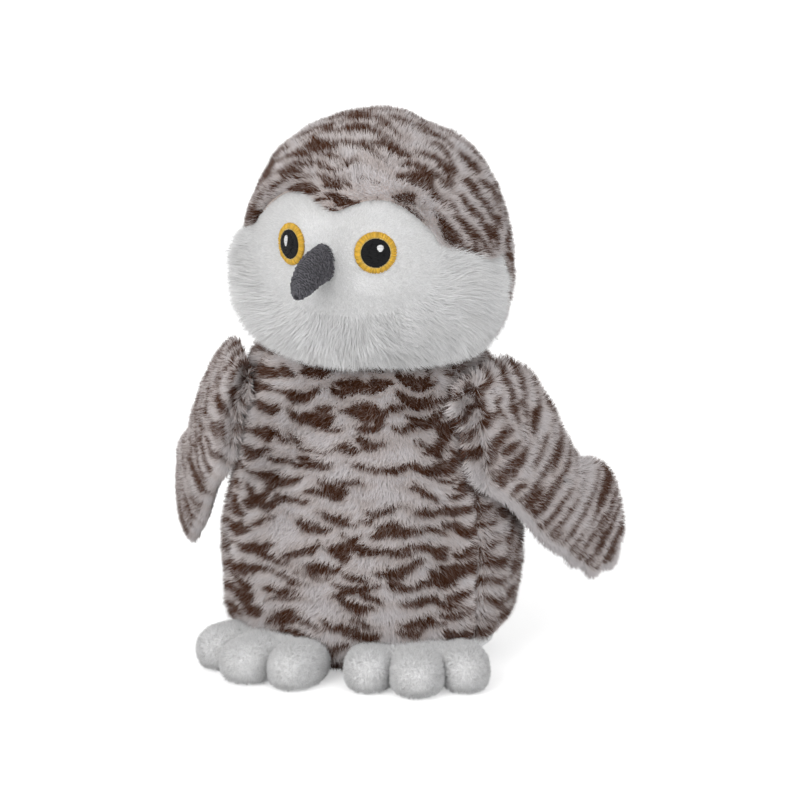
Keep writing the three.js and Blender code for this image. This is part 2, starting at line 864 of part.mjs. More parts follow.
function wingPieces() {
  const centre = new THREE.Vector2(...wingCentreShares);
  const outline = wingOutline(0, wingOutlinePoints, lobeSteps);
  const knife = wingOutline(-knifeMargin, wingOutlinePoints, fillLobeSteps);
  const over = swell(wingOuterBulge, wingEdge);
  const under = swell(wingInnerBulge, wingEdge);
  const whole = pillow(outline, centre, wingBands, wingPlace, (share) => -under(share), over);
  const [outer, inner] = halves(whole, knife, centre, wingBands, wingPlace);
  const filling = (margin) => {
    const overFill = swell(wingOuterBulge - wingOuterPile + margin, wingEdge + margin);
    const underFill = swell(wingInnerBulge - wingInnerPile + margin, wingEdge + margin);
    return pillow(
      wingOutline(wingFillMargin - margin, wingFillPoints, fillLobeSteps),
      centre,
      fillBands,
      wingPlace,
      (share) => -underFill(share),
      overFill,
    );
  };
  const { through, along } = wingHinge();
  const bodySwept = sweptRoom(bodyRoom, through, along, -wingSwingOut, wingSwingIn);
  return [
    ...pairOf("wing_outer", outer.subtract(filling(seamWidth)).subtract(bodySwept), stripedCloth),
    ...pairOf("wing_lining", inner.subtract(filling(seamWidth)).subtract(bodySwept), whiteCloth),
    ...pairOf("wing_stuffing", filling(0).subtract(bodySwept), fibre),
  ];
}

// Tail

const tailHinge = new THREE.Vector3(
  0,
  sectionAt(bodyProfile, tailHingeHeight).depth - tailHingeInset,
  tailHingeHeight,
);

function tailPlace(flat, thickness) {
  const droop = radians(tailDroopDegrees);
  const along = flat.y * tailLength;
  return new THREE.Vector3(
    flat.x * tailWidth * half,
    tailHinge.y + along * Math.cos(droop) + thickness * Math.sin(droop),
    tailHinge.z - along * Math.sin(droop) + thickness * Math.cos(droop),
  );
}

function tailOutline(margin, count, steps) {
  const right = tailOutlineShares;
  const left = right.slice(1, -1).reverse().map(([x, y]) => [-x, y]);
  const centre = new THREE.Vector2(...tailCentreShares);
  const size = new THREE.Vector2(tailWidth * half, tailLength);
  const outline = lobedOutline(
    [...right, ...left],
    count,
    centre,
    tailLobes,
    tailLobeShares,
    tailLobeDepth / tailLength,
    steps,
  );
  const drawn = grown(
    outline.map((point) => point.multiply(size)),
    centre.clone().multiply(size),
    -margin,
  );
  return drawn.map((point) => point.divide(size));
}

function tailPieces() {
  const centre = new THREE.Vector2(...tailCentreShares);
  const outline = tailOutline(0, tailOutlinePoints, lobeSteps);
  const knife = tailOutline(-knifeMargin, tailOutlinePoints, fillLobeSteps);
  const over = swell(tailUpperBulge, wingEdge);
  const under = swell(tailLowerBulge, wingEdge);
  const whole = pillow(outline, centre, tailBands, tailPlace, (share) => -under(share), over);
  const [upper, lower] = halves(whole, knife, centre, tailBands, tailPlace);
  const filling = (margin) => {
    const overFill = swell(tailUpperBulge - tailUpperPile + margin, wingEdge + margin);
    const underFill = swell(tailLowerBulge - tailLowerPile + margin, wingEdge + margin);
    return pillow(
      tailOutline(tailFillMargin - margin, tailFillPoints, fillLobeSteps),
      centre,
      fillBands,
      tailPlace,
      (share) => -underFill(share),
      overFill,
    );
  };
  const sideways = new THREE.Vector3(1, 0, 0);
  const bodySwept = sweptRoom(bodyRoom, tailHinge, sideways, 0, tailLift);
  return [
    meshOf("tail_upper", upper.subtract(filling(seamWidth)).subtract(bodySwept), stripedCloth),
    meshOf("tail_lower", lower.subtract(filling(seamWidth)).subtract(bodySwept), whiteCloth),
    meshOf("tail_stuffing", filling(0).subtract(bodySwept), fibre),
  ];
}

const head = new THREE.Group();
head.rotation.z = -radians(headTurnDegrees);
head.position.x = headShift;
head.add(...headPieces());

const owl = new THREE.Group();
owl.add(
  ...bodyPieces(),
  ...footPieces("left", leftFootSplayDegrees),
  ...footPieces("right", rightFootSplayDegrees),
  ...wingPieces(),
  ...tailPieces(),
  head,
);

export default owl;
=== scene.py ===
"""Dresses a stuffed toy owl with plush covers, combed pile, embroidered eyes and a looped beak."""

import math

import bpy
import numpy as np
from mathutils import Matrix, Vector


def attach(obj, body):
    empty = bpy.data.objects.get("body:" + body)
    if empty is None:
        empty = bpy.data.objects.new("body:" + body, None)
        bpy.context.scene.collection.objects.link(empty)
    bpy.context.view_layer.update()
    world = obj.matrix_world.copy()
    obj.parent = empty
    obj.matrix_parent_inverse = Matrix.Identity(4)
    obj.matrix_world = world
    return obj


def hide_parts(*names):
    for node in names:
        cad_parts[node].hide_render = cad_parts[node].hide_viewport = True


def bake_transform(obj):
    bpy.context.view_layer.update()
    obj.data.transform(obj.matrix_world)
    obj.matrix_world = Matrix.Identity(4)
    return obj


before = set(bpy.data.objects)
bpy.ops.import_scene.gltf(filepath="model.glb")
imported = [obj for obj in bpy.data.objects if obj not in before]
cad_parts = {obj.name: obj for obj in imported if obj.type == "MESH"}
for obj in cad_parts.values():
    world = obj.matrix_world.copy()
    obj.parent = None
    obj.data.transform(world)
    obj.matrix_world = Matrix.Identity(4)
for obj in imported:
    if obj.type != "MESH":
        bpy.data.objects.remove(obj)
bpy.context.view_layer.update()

bl_info = {
    "name": "Plush Owl Dresser",
    "version": (1, 0, 0),
    "blender": (4, 5, 0),
    "location": "3D View > Sidebar > Owl",
    "description": "Plush covers, pile, embroidered eyes and a looped beak for a stuffed toy owl",
    "category": "Object",
}

MM = 0.001

# Body and head forms, in millimetres: shares of half width, half depth and height
BODY_SHARES = [
    [0.7, 0.7, 0], [0.79, 0.79, 0.012], [0.87, 0.87, 0.035], [0.93, 0.93, 0.075], [0.975, 0.97, 0.135],
    [1, 1, 0.24], [0.995, 1, 0.37], [0.965, 0.975, 0.53], [0.92, 0.925, 0.7], [0.865, 0.86, 0.84],
    [0.81, 0.8, 0.925], [0.745, 0.73, 0.98], [0.64, 0.62, 1.03], [0.5, 0.48, 1.08],
]
HEAD_SHARES = [
    [0.6, 0.56, -0.1], [0.76, 0.73, -0.04], [0.85, 0.82, 0], [0.915, 0.895, 0.06], [0.965, 0.955, 0.145],
    [0.992, 0.99, 0.25], [1, 1, 0.37], [0.968, 0.968, 0.5], [0.9, 0.9, 0.63], [0.785, 0.785, 0.76],
    [0.61, 0.61, 0.875], [0.4, 0.4, 0.95], [0.19, 0.19, 0.989], [0.04, 0.04, 1],
]
FACE_SHARES = [
    [0, 0.675], [0.13, 0.705], [0.3, 0.735], [0.48, 0.71], [0.64, 0.635], [0.75, 0.55], [0.77, 0.45],
    [0.7, 0.35], [0.55, 0.28], [0.32, 0.235], [0, 0.22],
]
RUFF_EDGE_SHARES = [[0, 0.54], [0.72, 0.56], [0.86, 0.485], [1.02, 0.4], [1.5, 0.36]]
WING_SHARES = [
    [-0.03, 0.09], [0.03, 0.025], [0.12, 0.0], [0.23, 0], [0.37, 0.075], [0.47, 0.2], [0.545, 0.335],
    [0.61, 0.43], [0.68, 0.495], [0.79, 0.52], [0.91, 0.605], [0.98, 0.74], [1, 0.85], [0.965, 0.93],
    [0.89, 0.965], [0.79, 0.965], [0.7, 0.92], [0.58, 0.855], [0.43, 0.775], [0.3, 0.665], [0.18, 0.57],
    [0.06, 0.5], [-0.03, 0.42],
]
TAIL_SHARES = [
    [0, -0.2], [0.55, -0.2], [0.86, -0.12], [0.96, 0.2], [1, 0.52], [0.9, 0.8], [0.5, 0.96], [0, 1],
]
BEAK_PATH_SHARES = [[1, 0], [-0.4, -0.06], [-0.75, -0.42], [-1, -1]]

OWL_HEIGHT, NECK_HEIGHT = 240, 140
BODY_WIDTH, BODY_DEPTH, BODY_ROUNDNESS = 132, 114, 2.25
HEAD_WIDTH, HEAD_DEPTH, HEAD_ROUNDNESS = 121, 115, 2
HEAD_TURN, HEAD_SHIFT = -math.radians(10), 3.2
SIDE_SEAM = math.radians(62)
BODY_WEAVE, HOOD_WEAVE, WING_WEAVE = 62, 52, 58
HOOD_SEAM, RUFF_BACK, SEAM_GAP = 20, 4, 0.15
EYE_SPACING, EYE_HEIGHT, EYE_RING, EYE_PUPIL = 40, 50, 19, 12.4
EYE_TURN, EYE_TILT = math.radians(29), math.radians(4)
STRIPED_PILE, SHORT_PILE, FLOOR_GAP = 7.5, 3.2, 0.7
FACE_SUNK = SHORT_PILE - STRIPED_PILE
WING_REACH, WING_TOP, WING_HEIGHT = 96, 137, 113
WING_SWEEP = math.radians(60)
WING_CENTRE = np.array([0.5, 0.52])
WING_ROOT_TOP, WING_ROOT_BOTTOM = 136, 80
TAIL_WIDTH, TAIL_LENGTH, TAIL_DROOP, TAIL_HINGE = 46, 34, math.radians(12), 13.5
TAIL_CENTRE = np.array([0, 0.42])
TOE_HEIGHT, TOE_WIDTH, TOE_SPREAD, FOOT_ACROSS, FOOT_AHEAD = 20.5, 24, 19.5, 33.5, -51
BEAK_LENGTH, BEAK_DROP, BEAK_HALF_WIDTH, BEAK_HALF_HEIGHT, BEAK_ASIDE = 27, 9, 7, 9.5, -2
BEAK_HEIGHT, BEAK_ROOT_HEIGHT = 45.5, 44.3

# How far under a solid's skin its cover lies, and how far flaps, feet and beak run into body and head
BODY_UNDER, HOOD_UNDER, FACE_UNDER = -5.1, -4.6, -5.7
WING_CUT, TAIL_CUT, FOOT_CUT, BEAK_CUT = -5.2, -4.0, -4.6, -6.3


# Settings


def length_setting(name, description, default, least, precision=4):
    return bpy.props.FloatProperty(
        name=name, description=description, default=default, min=least, unit="LENGTH", precision=precision)


def number_setting(name, description, default, **limits):
    return bpy.props.FloatProperty(name=name, description=description, default=default, **limits)


def colour_setting(name, description, default):
    return bpy.props.FloatVectorProperty(
        name=name, description=description, default=default, subtype="COLOR", size=3)


class OwlPileSettings(bpy.types.PropertyGroup):
    """Lengths and fineness of the pile."""

    striped_length: length_setting("Striped pile", "Length of the striped plush fibres", 0.0056, 0.001)
    ruff_length: length_setting("Ruff pile", "Length of the ruff's fibres at its lower rim", 0.0125, 0.001)
    short_length: length_setting(
        "Short pile", "Length of the fibres on feet, linings and face", 0.0019, 0.0005)
    fibre_width: length_setting("Fibre tuft width", "Width of one lock of fibres", 0.00042, 0.0001, 5)
    fullness: number_setting(
        "Fullness", "Share of the full number of fibres", 1.0, min=0.05, max=1.0, subtype="FACTOR")
    tuft_size: length_setting(
        "Tuft size", "Distance over which neighbouring fibres lean together", 0.007, 0.001)


class OwlPatternSettings(bpy.types.PropertyGroup):
    """Rows of brown dashes."""

    row_spacing: number_setting(
        "Row spacing", "Distance between rows of dashes in millimetres", 9.3, min=1)
    dash_length: number_setting(
        "Dash length", "Length along a row that each dash has in millimetres", 33.0, min=1)
    dash_width: number_setting("Dash width", "Typical half width of a dash in millimetres", 2.9, min=0.1)
    waviness: number_setting("Waviness", "How far rows bend from straight in millimetres", 22.0, min=0)


class OwlColourSettings(bpy.types.PropertyGroup):
    """Colours of the cloths and threads."""

    white: colour_setting("White pile", "Ground colour of the striped plush", (0.85, 0.815, 0.828))
    brown: colour_setting("Brown dashes", "Colour of the dashes at the fibre tips", (0.078, 0.022, 0.005))
    snow: colour_setting("Face and ruff", "Colour of face, ruff, feet and linings", (0.965, 0.965, 0.97))
    slate: colour_setting("Beak loops", "Colour of the beak's looped cloth", (0.158, 0.154, 0.171))
    gold: colour_setting("Eye ring", "Colour of the eye ring's thread", (0.78, 0.47, 0.045))


# Curves and forms


def spline(points, closed=False, steps=60):
    """Evenly spaced dense points of a centripetal spline through the given points."""
    given = np.asarray(points, float)
    count = len(given)
    pieces = []
    for k in range(count if closed else count - 1):
        if closed:
            p0, p1, p2, p3 = (given[(k + i - 1) % count] for i in range(4))
        else:
            p1, p2 = given[k], given[k + 1]
            p0 = given[k - 1] if k else 2 * p1 - p2
            p3 = given[k + 2] if k + 2 < count else 2 * p2 - p1
        d0, d1, d2 = (
            max(np.linalg.norm(b - a) ** 0.5, 1e-4) for a, b in ((p0, p1), (p1, p2), (p2, p3))
        )
        t1 = ((p1 - p0) / d0 - (p2 - p0) / (d0 + d1) + (p2 - p1) / d1) * d1
        t2 = ((p2 - p1) / d1 - (p3 - p1) / (d1 + d2) + (p3 - p2) / d2) * d1
        t = np.linspace(0, 1, steps, endpoint=False)[:, None]
        pieces.append(
            p1 + t1 * t + (3 * (p2 - p1) - 2 * t1 - t2) * t**2 + (2 * (p1 - p2) + t1 + t2) * t**3
        )
    pieces.append(given[:1] if closed else given[-1:])
    dense = np.concatenate(pieces)
    return resampled(dense, 1200)


def resampled(path, count):
    """A path with its points spaced evenly."""
    gone = np.concatenate([[0], np.cumsum(np.linalg.norm(np.diff(path, axis=0), axis=1))])
    wanted = np.linspace(0, gone[-1], count)
    return np.stack([np.interp(wanted, gone, path[:, k]) for k in range(path.shape[1])], -1)


def along(path, shares):
    """Points of an evenly spaced path at shares of its length."""
    places = np.asarray(shares) * (len(path) - 1)
    return np.stack([np.interp(places, np.arange(len(path)), path[:, k]) for k in range(path.shape[1])], -1)


def unit(vectors, least=1e-6):
    """Vectors, one to a row, brought to a length of one."""
    return vectors / np.maximum(np.linalg.norm(vectors, axis=1), least)[:, None]


def smoothstep(value, low, high):
    """Rises smoothly from 0 at the low value to 1 at the high one."""
    share = np.clip((np.asarray(value, float) - low) / (high - low), 0, 1)
    return share * share * (3 - 2 * share)


def ripple(points, size, seed):
    """Smooth uneven swelling between about -1 and 1 with bumps of a given size."""
    waves, usual_height = 9, 3.4
    draw = np.random.default_rng(seed)
    ways = unit(draw.normal(size=(waves, 3)))
    pitch = draw.uniform(0.6, 1.5, waves) * 2 * math.pi / (2.2 * size)
    phase = draw.uniform(0, 2 * math.pi, waves)
    return np.sin(points @ (ways * pitch[:, None]).T + phase).sum(1) / usual_height


def swirl(points, size, seed):
    """A direction at each point that wanders smoothly."""
    return np.stack([ripple(points, size, seed + k) for k in range(3)], -1)


class OvalForm:
    """A stuffed oval, from half widths and half depths along its side."""

    def __init__(self, shares, width, depth, height, floor, roundness):
        table = np.array(shares, float) * [width / 2, depth / 2, height] + [0, 0, floor]
        self.side = spline(table)
        run = np.gradient(self.side, axis=0)
        slope = np.hypot(run[:, 0], run[:, 2])
        self.table = np.column_stack([self.side, run[:, 2] / slope, -run[:, 0] / slope])
        self.shares = np.linspace(0, 1, len(self.side))
        self.roundness = roundness

    def share_at(self, height):
        return np.interp(height, self.side[:, 2], self.shares)

    def read(self, share):
        """Half width, half depth, height, outward and upward slope at a share of the side's length."""
        return [np.interp(share, self.shares, column) for column in self.table.T]

    def at(self, azimuth, share, offset=0.0):
        """Points at an azimuth from the front, a share of the side's length and an offset outwards."""
        width, depth, height, out, up = self.read(share)
        width, depth = width + offset * out, depth + offset * out
        n = self.roundness
        radius = (np.abs(np.sin(azimuth) / width) ** n + np.abs(np.cos(azimuth) / depth) ** n) ** (-1 / n)
        return np.stack([radius * np.sin(azimuth), -radius * np.cos(azimuth), height + offset * up], -1)

    def outside(self, points, offset=0.0):
        """How far points stand outside the form, measured level."""
        azimuth = np.arctan2(points[:, 0], -points[:, 1])
        skin = self.at(azimuth, self.share_at(points[:, 2]), offset)
        return np.hypot(points[:, 0], points[:, 1]) - np.hypot(skin[:, 0], skin[:, 1])


BODY = OvalForm(BODY_SHARES, BODY_WIDTH, BODY_DEPTH, NECK_HEIGHT, 0, BODY_ROUNDNESS)
HEAD = OvalForm(HEAD_SHARES, HEAD_WIDTH, HEAD_DEPTH, OWL_HEIGHT - NECK_HEIGHT, NECK_HEIGHT, HEAD_ROUNDNESS)


def head_to_world(points, shift=True):
    """Turns the head's own coordinates, or directions, into the owl's."""
    c, s = math.cos(HEAD_TURN), math.sin(HEAD_TURN)
    turned = points @ np.array([[c, s, 0], [-s, c, 0], [0, 0, 1]])
    return turned + [HEAD_SHIFT, 0, 0] if shift else turned


# Sheets of cloth


class Sheet:
    """Cloth as points in millimetres, faces, and marks held at each point."""

    def __init__(self, points, faces, **marks):
        self.points = np.asarray(points, float)
        self.faces = [tuple(int(i) for i in face) for face in faces]
        self.marks = marks

    def normals(self):
        mesh = bpy.data.meshes.new("measure")
        mesh.from_pydata(self.points.tolist(), [], self.faces)
        found = np.zeros(len(self.points) * 3, np.float32)
        mesh.vertex_normals.foreach_get("vector", found)
        bpy.data.meshes.remove(mesh)
        return found.reshape(-1, 3).astype(float)

    def trimmed(self, keep):
        """The part where a value at each point is above zero, cut along its zero line."""
        names = sorted(self.marks)
        columns = [self.points] + [np.reshape(self.marks[n], (len(self.points), -1)) for n in names]
        widths = [c.shape[1] for c in columns]
        table = list(np.concatenate(columns, 1))
        cut, faces = {}, []
        inside = keep > 0

        def crossing(a, b):
            key = (min(a, b), max(a, b))
            if key not in cut:
                share = keep[a] / (keep[a] - keep[b])
                cut[key] = len(table)
                table.append(table[a] + share * (table[b] - table[a]))
            return cut[key]

        for face in self.faces:
            states = [inside[i] for i in face]
            if all(states):
                faces.append(face)
            elif any(states):
                ring = []
                for a, b in zip(face, face[1:] + face[:1]):
                    if inside[a]:
                        ring.append(a)
                    if inside[a] != inside[b]:
                        ring.append(crossing(a, b))
                faces.append(tuple(ring))
        used = sorted({i for face in faces for i in face})
        place = {old: new for new, old in enumerate(used)}
        rows = np.array([table[i] for i in used])
        splits = np.split(rows, np.cumsum(widths)[:-1], axis=1)
        marks = {
            n: part if np.ndim(self.marks[n]) > 1 else part[:, 0] for n, part in zip(names, splits[1:])
        }
        return Sheet(splits[0], [[place[i] for i in face] for face in faces], **marks)

    def mirrored(self):
        marks = dict(self.marks)
        for name in ("nap", "facing"):
            if name in marks:
                marks[name] = marks[name] * [-1, 1, 1]
        return Sheet(self.points * [-1, 1, 1], [face[::-1] for face in self.faces], **marks)

    def turned_out(self, outward):
        """The same sheet with its faces looking the way of a direction at each point."""
        if np.sum(self.normals() * outward) < 0:
            self.faces = [face[::-1] for face in self.faces]
        return self


def grid_faces(rows, columns, closed=False):
    """Quads over rows of points, joined round where closed."""
    across = np.arange(columns if closed else columns - 1)
    low = np.arange(rows - 1)[:, None] * columns
    a, b = low + across, low + (across + 1) % columns
    return np.stack([a, b, b + columns, a + columns], -1).reshape(-1, 4)


def disc_faces(rings, around):
    """Faces over a centre point followed by closed rings of points."""
    k = np.arange(around)
    middle = [(0, 1 + i, 1 + j) for i, j in zip(k, (k + 1) % around)]
    return middle + [tuple(face + 1) for face in grid_faces(rings, around, True)]


def cap_faces(first, around):
    """Triangles between a last ring of points and the tip point that follows it."""
    return [(first + i, first + (i + 1) % around, first + around) for i in range(around)]


def set_mark(mesh, name, values):
    """Stores a number or a direction at each point of a mesh."""
    values = np.asarray(values, np.float32)
    wide = values.ndim > 1
    layer = mesh.attributes.new(name, "FLOAT_VECTOR" if wide else "FLOAT", "POINT")
    layer.data.foreach_set("vector" if wide else "value", values.ravel())


def set_map(mesh, places):
    """Lays a mesh out flat for baking, by a place for each point."""
    corners = np.zeros(len(mesh.loops), np.int32)
    mesh.loops.foreach_get("vertex_index", corners)
    mesh.uv_layers.new(name="OFBake").data.foreach_set("uv", places[corners].ravel())


def set_smooth(mesh):
    mesh.polygons.foreach_set("use_smooth", [True] * len(mesh.polygons))


def closed_mesh(name, sheet, thickness, material, mapped=True):
    """A cloth wall of a thickness under a sheet, closed at its rim, with a map for baking."""
    count = len(sheet.points)
    points = np.concatenate([sheet.points, sheet.points - sheet.normals() * thickness]) * MM
    edges = {edge: True for face in sheet.faces for edge in zip(face, face[1:] + face[:1])}
    rim = [(b, a, a + count, b + count) for a, b in edges if (b, a) not in edges]
    inner = [tuple(i + count for i in reversed(face)) for face in sheet.faces]
    mesh = bpy.data.meshes.new(name)
    mesh.from_pydata(points.tolist(), [], list(sheet.faces) + inner + rim)
    set_smooth(mesh)
    for mark in ("weave", "bare"):
        if mark in sheet.marks:
            set_mark(mesh, mark, np.concatenate([sheet.marks[mark]] * 2))
    if mapped and "map" in sheet.marks:
        outer_part, inner_part = (0.01, 0.76), (0.79, 0.2)
        flat = sheet.marks["map"]
        set_map(mesh, np.concatenate([low + flat * size for low, size in (outer_part, inner_part)]))
    mesh.materials.append(material)
    mesh.validate()
    return mesh


def add_object(name, mesh):
    """A new object in the scene."""
    piece = bpy.data.objects.new(name, mesh)
    bpy.context.scene.collection.objects.link(piece)
    return piece


# Node helpers


def feed(tree, made, inputs):
    """Links sockets, or sets plain values, into a node's inputs."""
    for key, value in inputs.items():
        if isinstance(value, bpy.types.NodeSocket):
            tree.links.new(value, made.inputs[key])
        else:
            made.inputs[key].default_value = value


def add_node(tree, kind, inputs=None, **settings):
    made = tree.nodes.new(kind)
    for key, value in settings.items():
        setattr(made, key, value)
    feed(tree, made, inputs or {})
    return made


def reckon(tree, operation, *values, clamp=False):
    made = add_node(tree, "ShaderNodeMath", dict(enumerate(values)), operation=operation, use_clamp=clamp)
    return made.outputs[0]


def reckon_vector(tree, operation, *values):
    keys = (0, 3) if operation == "SCALE" else (0, 1)
    return add_node(tree, "ShaderNodeVectorMath", dict(zip(keys, values)), operation=operation).outputs[0]


def random_value(tree, seed, low=None, high=None):
    """A random number at each point, or a random direction between two given ones."""
    if low is None:
        return add_node(tree, "FunctionNodeRandomValue", {"Seed": seed}, data_type="FLOAT").outputs[1]
    limits = {"Min": low, "Max": high, "Seed": seed}
    return add_node(tree, "FunctionNodeRandomValue", limits, data_type="FLOAT_VECTOR").outputs[0]


def blend_colours(tree, share, first, second, blend="MIX"):
    made = add_node(
        tree, "ShaderNodeMix", {0: share, 6: first, 7: second}, data_type="RGBA", blend_type=blend
    )
    return made.outputs[2]


def opaque(colour, *shares):
    """A colour with full cover, its channels taken by their shares."""
    return (*(c * share for c, share in zip(colour, shares or (1, 1, 1))), 1.0)


# Geometry Nodes trees


def open_sockets(tree, sockets, way="INPUT"):
    """Gives a tree its sockets, listed under the kind of each."""
    for kind, labels in sockets.items():
        for label in labels:
            tree.interface.new_socket(name=label, in_out=way, socket_type=f"NodeSocket{kind}")


def tree_of(name, sockets):
    """A new tree that takes a geometry and the given inputs and returns a geometry."""
    tree = bpy.data.node_groups.new(name, "GeometryNodeTree")
    open_sockets(tree, {"Geometry": ["Geometry"], **sockets})
    open_sockets(tree, {"Geometry": ["Geometry"]}, "OUTPUT")
    return tree, tree.nodes.new("NodeGroupInput").outputs


def named_value(tree, name, kind):
    return add_node(tree, "GeometryNodeInputNamedAttribute", {"Name": name}, data_type=kind).outputs[0]


def store_value(tree, geometry, name, value, kind):
    made = add_node(
        tree, "GeometryNodeStoreNamedAttribute", {"Geometry": geometry, "Name": name, "Value": value},
        data_type=kind, domain="POINT",
    )
    return made.outputs[0]


def place_fibres(tree, points, fibre, rise, facing, scale, material):
    """Ends a tree: a fibre on each point, rising one way and facing another, made real."""
    turn = add_node(
        tree, "FunctionNodeAxesToRotation", {"Primary Axis": rise, "Secondary Axis": facing},
        primary_axis="Z", secondary_axis="Y",
    )
    shape = add_node(tree, "GeometryNodeObjectInfo", {"Object": fibre}, transform_space="ORIGINAL")
    laid = add_node(
        tree, "GeometryNodeInstanceOnPoints",
        {"Points": points, "Instance": shape.outputs["Geometry"], "Rotation": turn.outputs[0], "Scale": scale},
    )
    real = add_node(tree, "GeometryNodeRealizeInstances", {"Geometry": laid.outputs[0]})
    covered = add_node(
        tree, "GeometryNodeSetMaterial", {"Geometry": real.outputs[0], "Material": material}
    )
    add_node(tree, "NodeGroupOutput", {0: covered.outputs[0]})


def pile_tree():
    """Combed pile over a sheet: fibres scattered by cover, leaning along the nap in loose tufts."""
    shortest, longest, uneven_seed, tint_seed = 0.72, 1.08, 7.0, 3.0
    tuft_swing, tuft_least, look_along = 0.5, 0.75, 0.8
    tree, given = tree_of("Combed Pile", {
        "Object": ["Fibre"], "Int": ["Seed"], "Material": ["Material"],
        "Float": ["Density", "Length", "Width", "Lean", "Tuft Size", "Tuft Lean", "Stray", "Relief"],
    })
    seed = given["Seed"]
    cover = reckon(tree, "MULTIPLY", given["Density"], named_value(tree, "cover", "FLOAT"))
    scattered = add_node(
        tree, "GeometryNodeDistributePointsOnFaces",
        {"Mesh": given["Geometry"], "Density": cover, "Seed": seed}, distribute_method="RANDOM",
    )
    normal, nap, weave = (named_value(tree, name, "FLOAT_VECTOR") for name in ("facing", "nap", "weave"))
    place = tree.nodes.new("GeometryNodeInputPosition").outputs[0]
    tufts = add_node(
        tree, "ShaderNodeTexNoise",
        {"Vector": place, "W": seed, "Scale": reckon(tree, "DIVIDE", 1.0, given["Tuft Size"]), "Detail": 1.0},
        noise_dimensions="4D",
    )
    away = reckon_vector(tree, "SUBTRACT", tufts.outputs["Color"], (0.5, 0.5, 0.5))
    tuft = reckon_vector(tree, "SCALE", away, given["Tuft Lean"])
    stray = reckon_vector(tree, "SCALE", random_value(tree, seed, (-1, -1, -1), (1, 1, 1)), given["Stray"])
    wander = reckon_vector(tree, "ADD", tuft, stray)
    combed = reckon_vector(tree, "ADD", normal, reckon_vector(tree, "SCALE", nap, given["Lean"]))
    rise = reckon_vector(tree, "ADD", combed, wander)
    lit = reckon_vector(tree, "ADD", normal, reckon_vector(tree, "SCALE", wander, given["Relief"]))
    uneven = add_node(
        tree, "FunctionNodeRandomValue",
        {2: shortest, 3: longest, "Seed": reckon(tree, "ADD", seed, uneven_seed)}, data_type="FLOAT",
    )
    ends = reckon(tree, "ADD", reckon(tree, "MULTIPLY", tufts.outputs["Fac"], tuft_swing), tuft_least)
    long = given["Length"]
    for factor in (named_value(tree, "pile", "FLOAT"), uneven.outputs[1], ends):
        long = reckon(tree, "MULTIPLY", long, factor)
    size = add_node(tree, "ShaderNodeCombineXYZ", {0: given["Width"], 1: given["Width"], 2: long}).outputs[0]
    seen = reckon_vector(
        tree, "SCALE", reckon_vector(tree, "NORMALIZE", rise), reckon(tree, "MULTIPLY", long, look_along)
    )
    end = reckon_vector(tree, "ADD", place, seen)
    woven = add_node(
        tree, "GeometryNodeSampleNearestSurface",
        {"Mesh": given["Geometry"], "Value": weave, "Sample Position": end}, data_type="FLOAT_VECTOR",
    )
    tint = random_value(tree, reckon(tree, "ADD", seed, tint_seed))
    points = store_value(tree, scattered.outputs[0], "shade", tint, "FLOAT")
    points = store_value(tree, points, "lit", lit, "FLOAT_VECTOR")
    points = store_value(tree, points, "weave", woven.outputs[0], "FLOAT_VECTOR")
    place_fibres(tree, points, given["Fibre"], rise, normal, size, given["Material"])
    return tree


def stitch_tree():
    """Stitches laid on given points, each along its own run and over its own facing."""
    tint_seed = 3.0
    tree, given = tree_of("Laid Stitches", {
        "Object": ["Stitch"], "Float": ["Thread Width", "Thread Height", "Unevenness"], "Int": ["Seed"],
        "Material": ["Material"],
    })
    points = add_node(tree, "GeometryNodeMeshToPoints", {"Mesh": given["Geometry"]}).outputs[0]
    run, size, facing = (named_value(tree, name, "FLOAT_VECTOR") for name in ("run", "size", "facing"))
    loose = random_value(tree, given["Seed"], (-1, -1, -1), (1, 1, 1))
    run = reckon_vector(tree, "ADD", run, reckon_vector(tree, "SCALE", loose, given["Unevenness"]))
    thread = {0: given["Thread Width"], 1: given["Thread Height"], 2: 1.0}
    scale = reckon_vector(tree, "MULTIPLY", size, add_node(tree, "ShaderNodeCombineXYZ", thread).outputs[0])
    tint = random_value(tree, reckon(tree, "ADD", given["Seed"], tint_seed))
    points = store_value(tree, points, "shade", tint, "FLOAT")
    place_fibres(tree, points, given["Stitch"], run, facing, scale, given["Material"])
    return tree


def laid_tree(name, maker):
    """A Geometry Nodes tree by name, made once."""
    return bpy.data.node_groups.get(name) or maker()


def template(name, points, faces, tip=None):
    """A hidden shape that the trees repeat."""
    if name in bpy.data.objects:
        return bpy.data.objects[name]
    mesh = bpy.data.meshes.new(name)
    mesh.from_pydata(points, [], faces)
    set_smooth(mesh)
    if tip is not None:
        set_mark(mesh, "tip", tip)
        set_mark(mesh, "side", [p[0] * 2 for p in points])
    return bpy.data.objects.new(name, mesh)


def spike_fibre():
    """A lock of fibres: a three-sided spike with its root open under the cloth."""
    points = [(-0.5, -0.2, 0), (0.5, -0.2, 0), (0, 0.55, 0), (0, -0.9, 1)]
    return template("spike_fibre", points, [(0, 1, 3), (1, 2, 3), (2, 0, 3)], [0, 0, 0, 1])


def run_tree(piece, tree, inputs):
    """Evaluates a tree on an object and returns the plain mesh that it makes."""
    modifier = piece.modifiers.new(tree.name, "NODES")
    modifier.node_group = tree
    for item in tree.interface.items_tree:
        if item.item_type == "SOCKET" and item.in_out == "INPUT" and item.name in inputs:
            modifier[item.identifier] = inputs[item.name]
    graph = bpy.context.evaluated_depsgraph_get()
    made = bpy.data.meshes.new_from_object(
        piece.evaluated_get(graph), preserve_all_data_layers=True, depsgraph=graph
    )
    mesh = piece.data
    bpy.data.objects.remove(piece)
    bpy.data.meshes.remove(mesh)
    return made


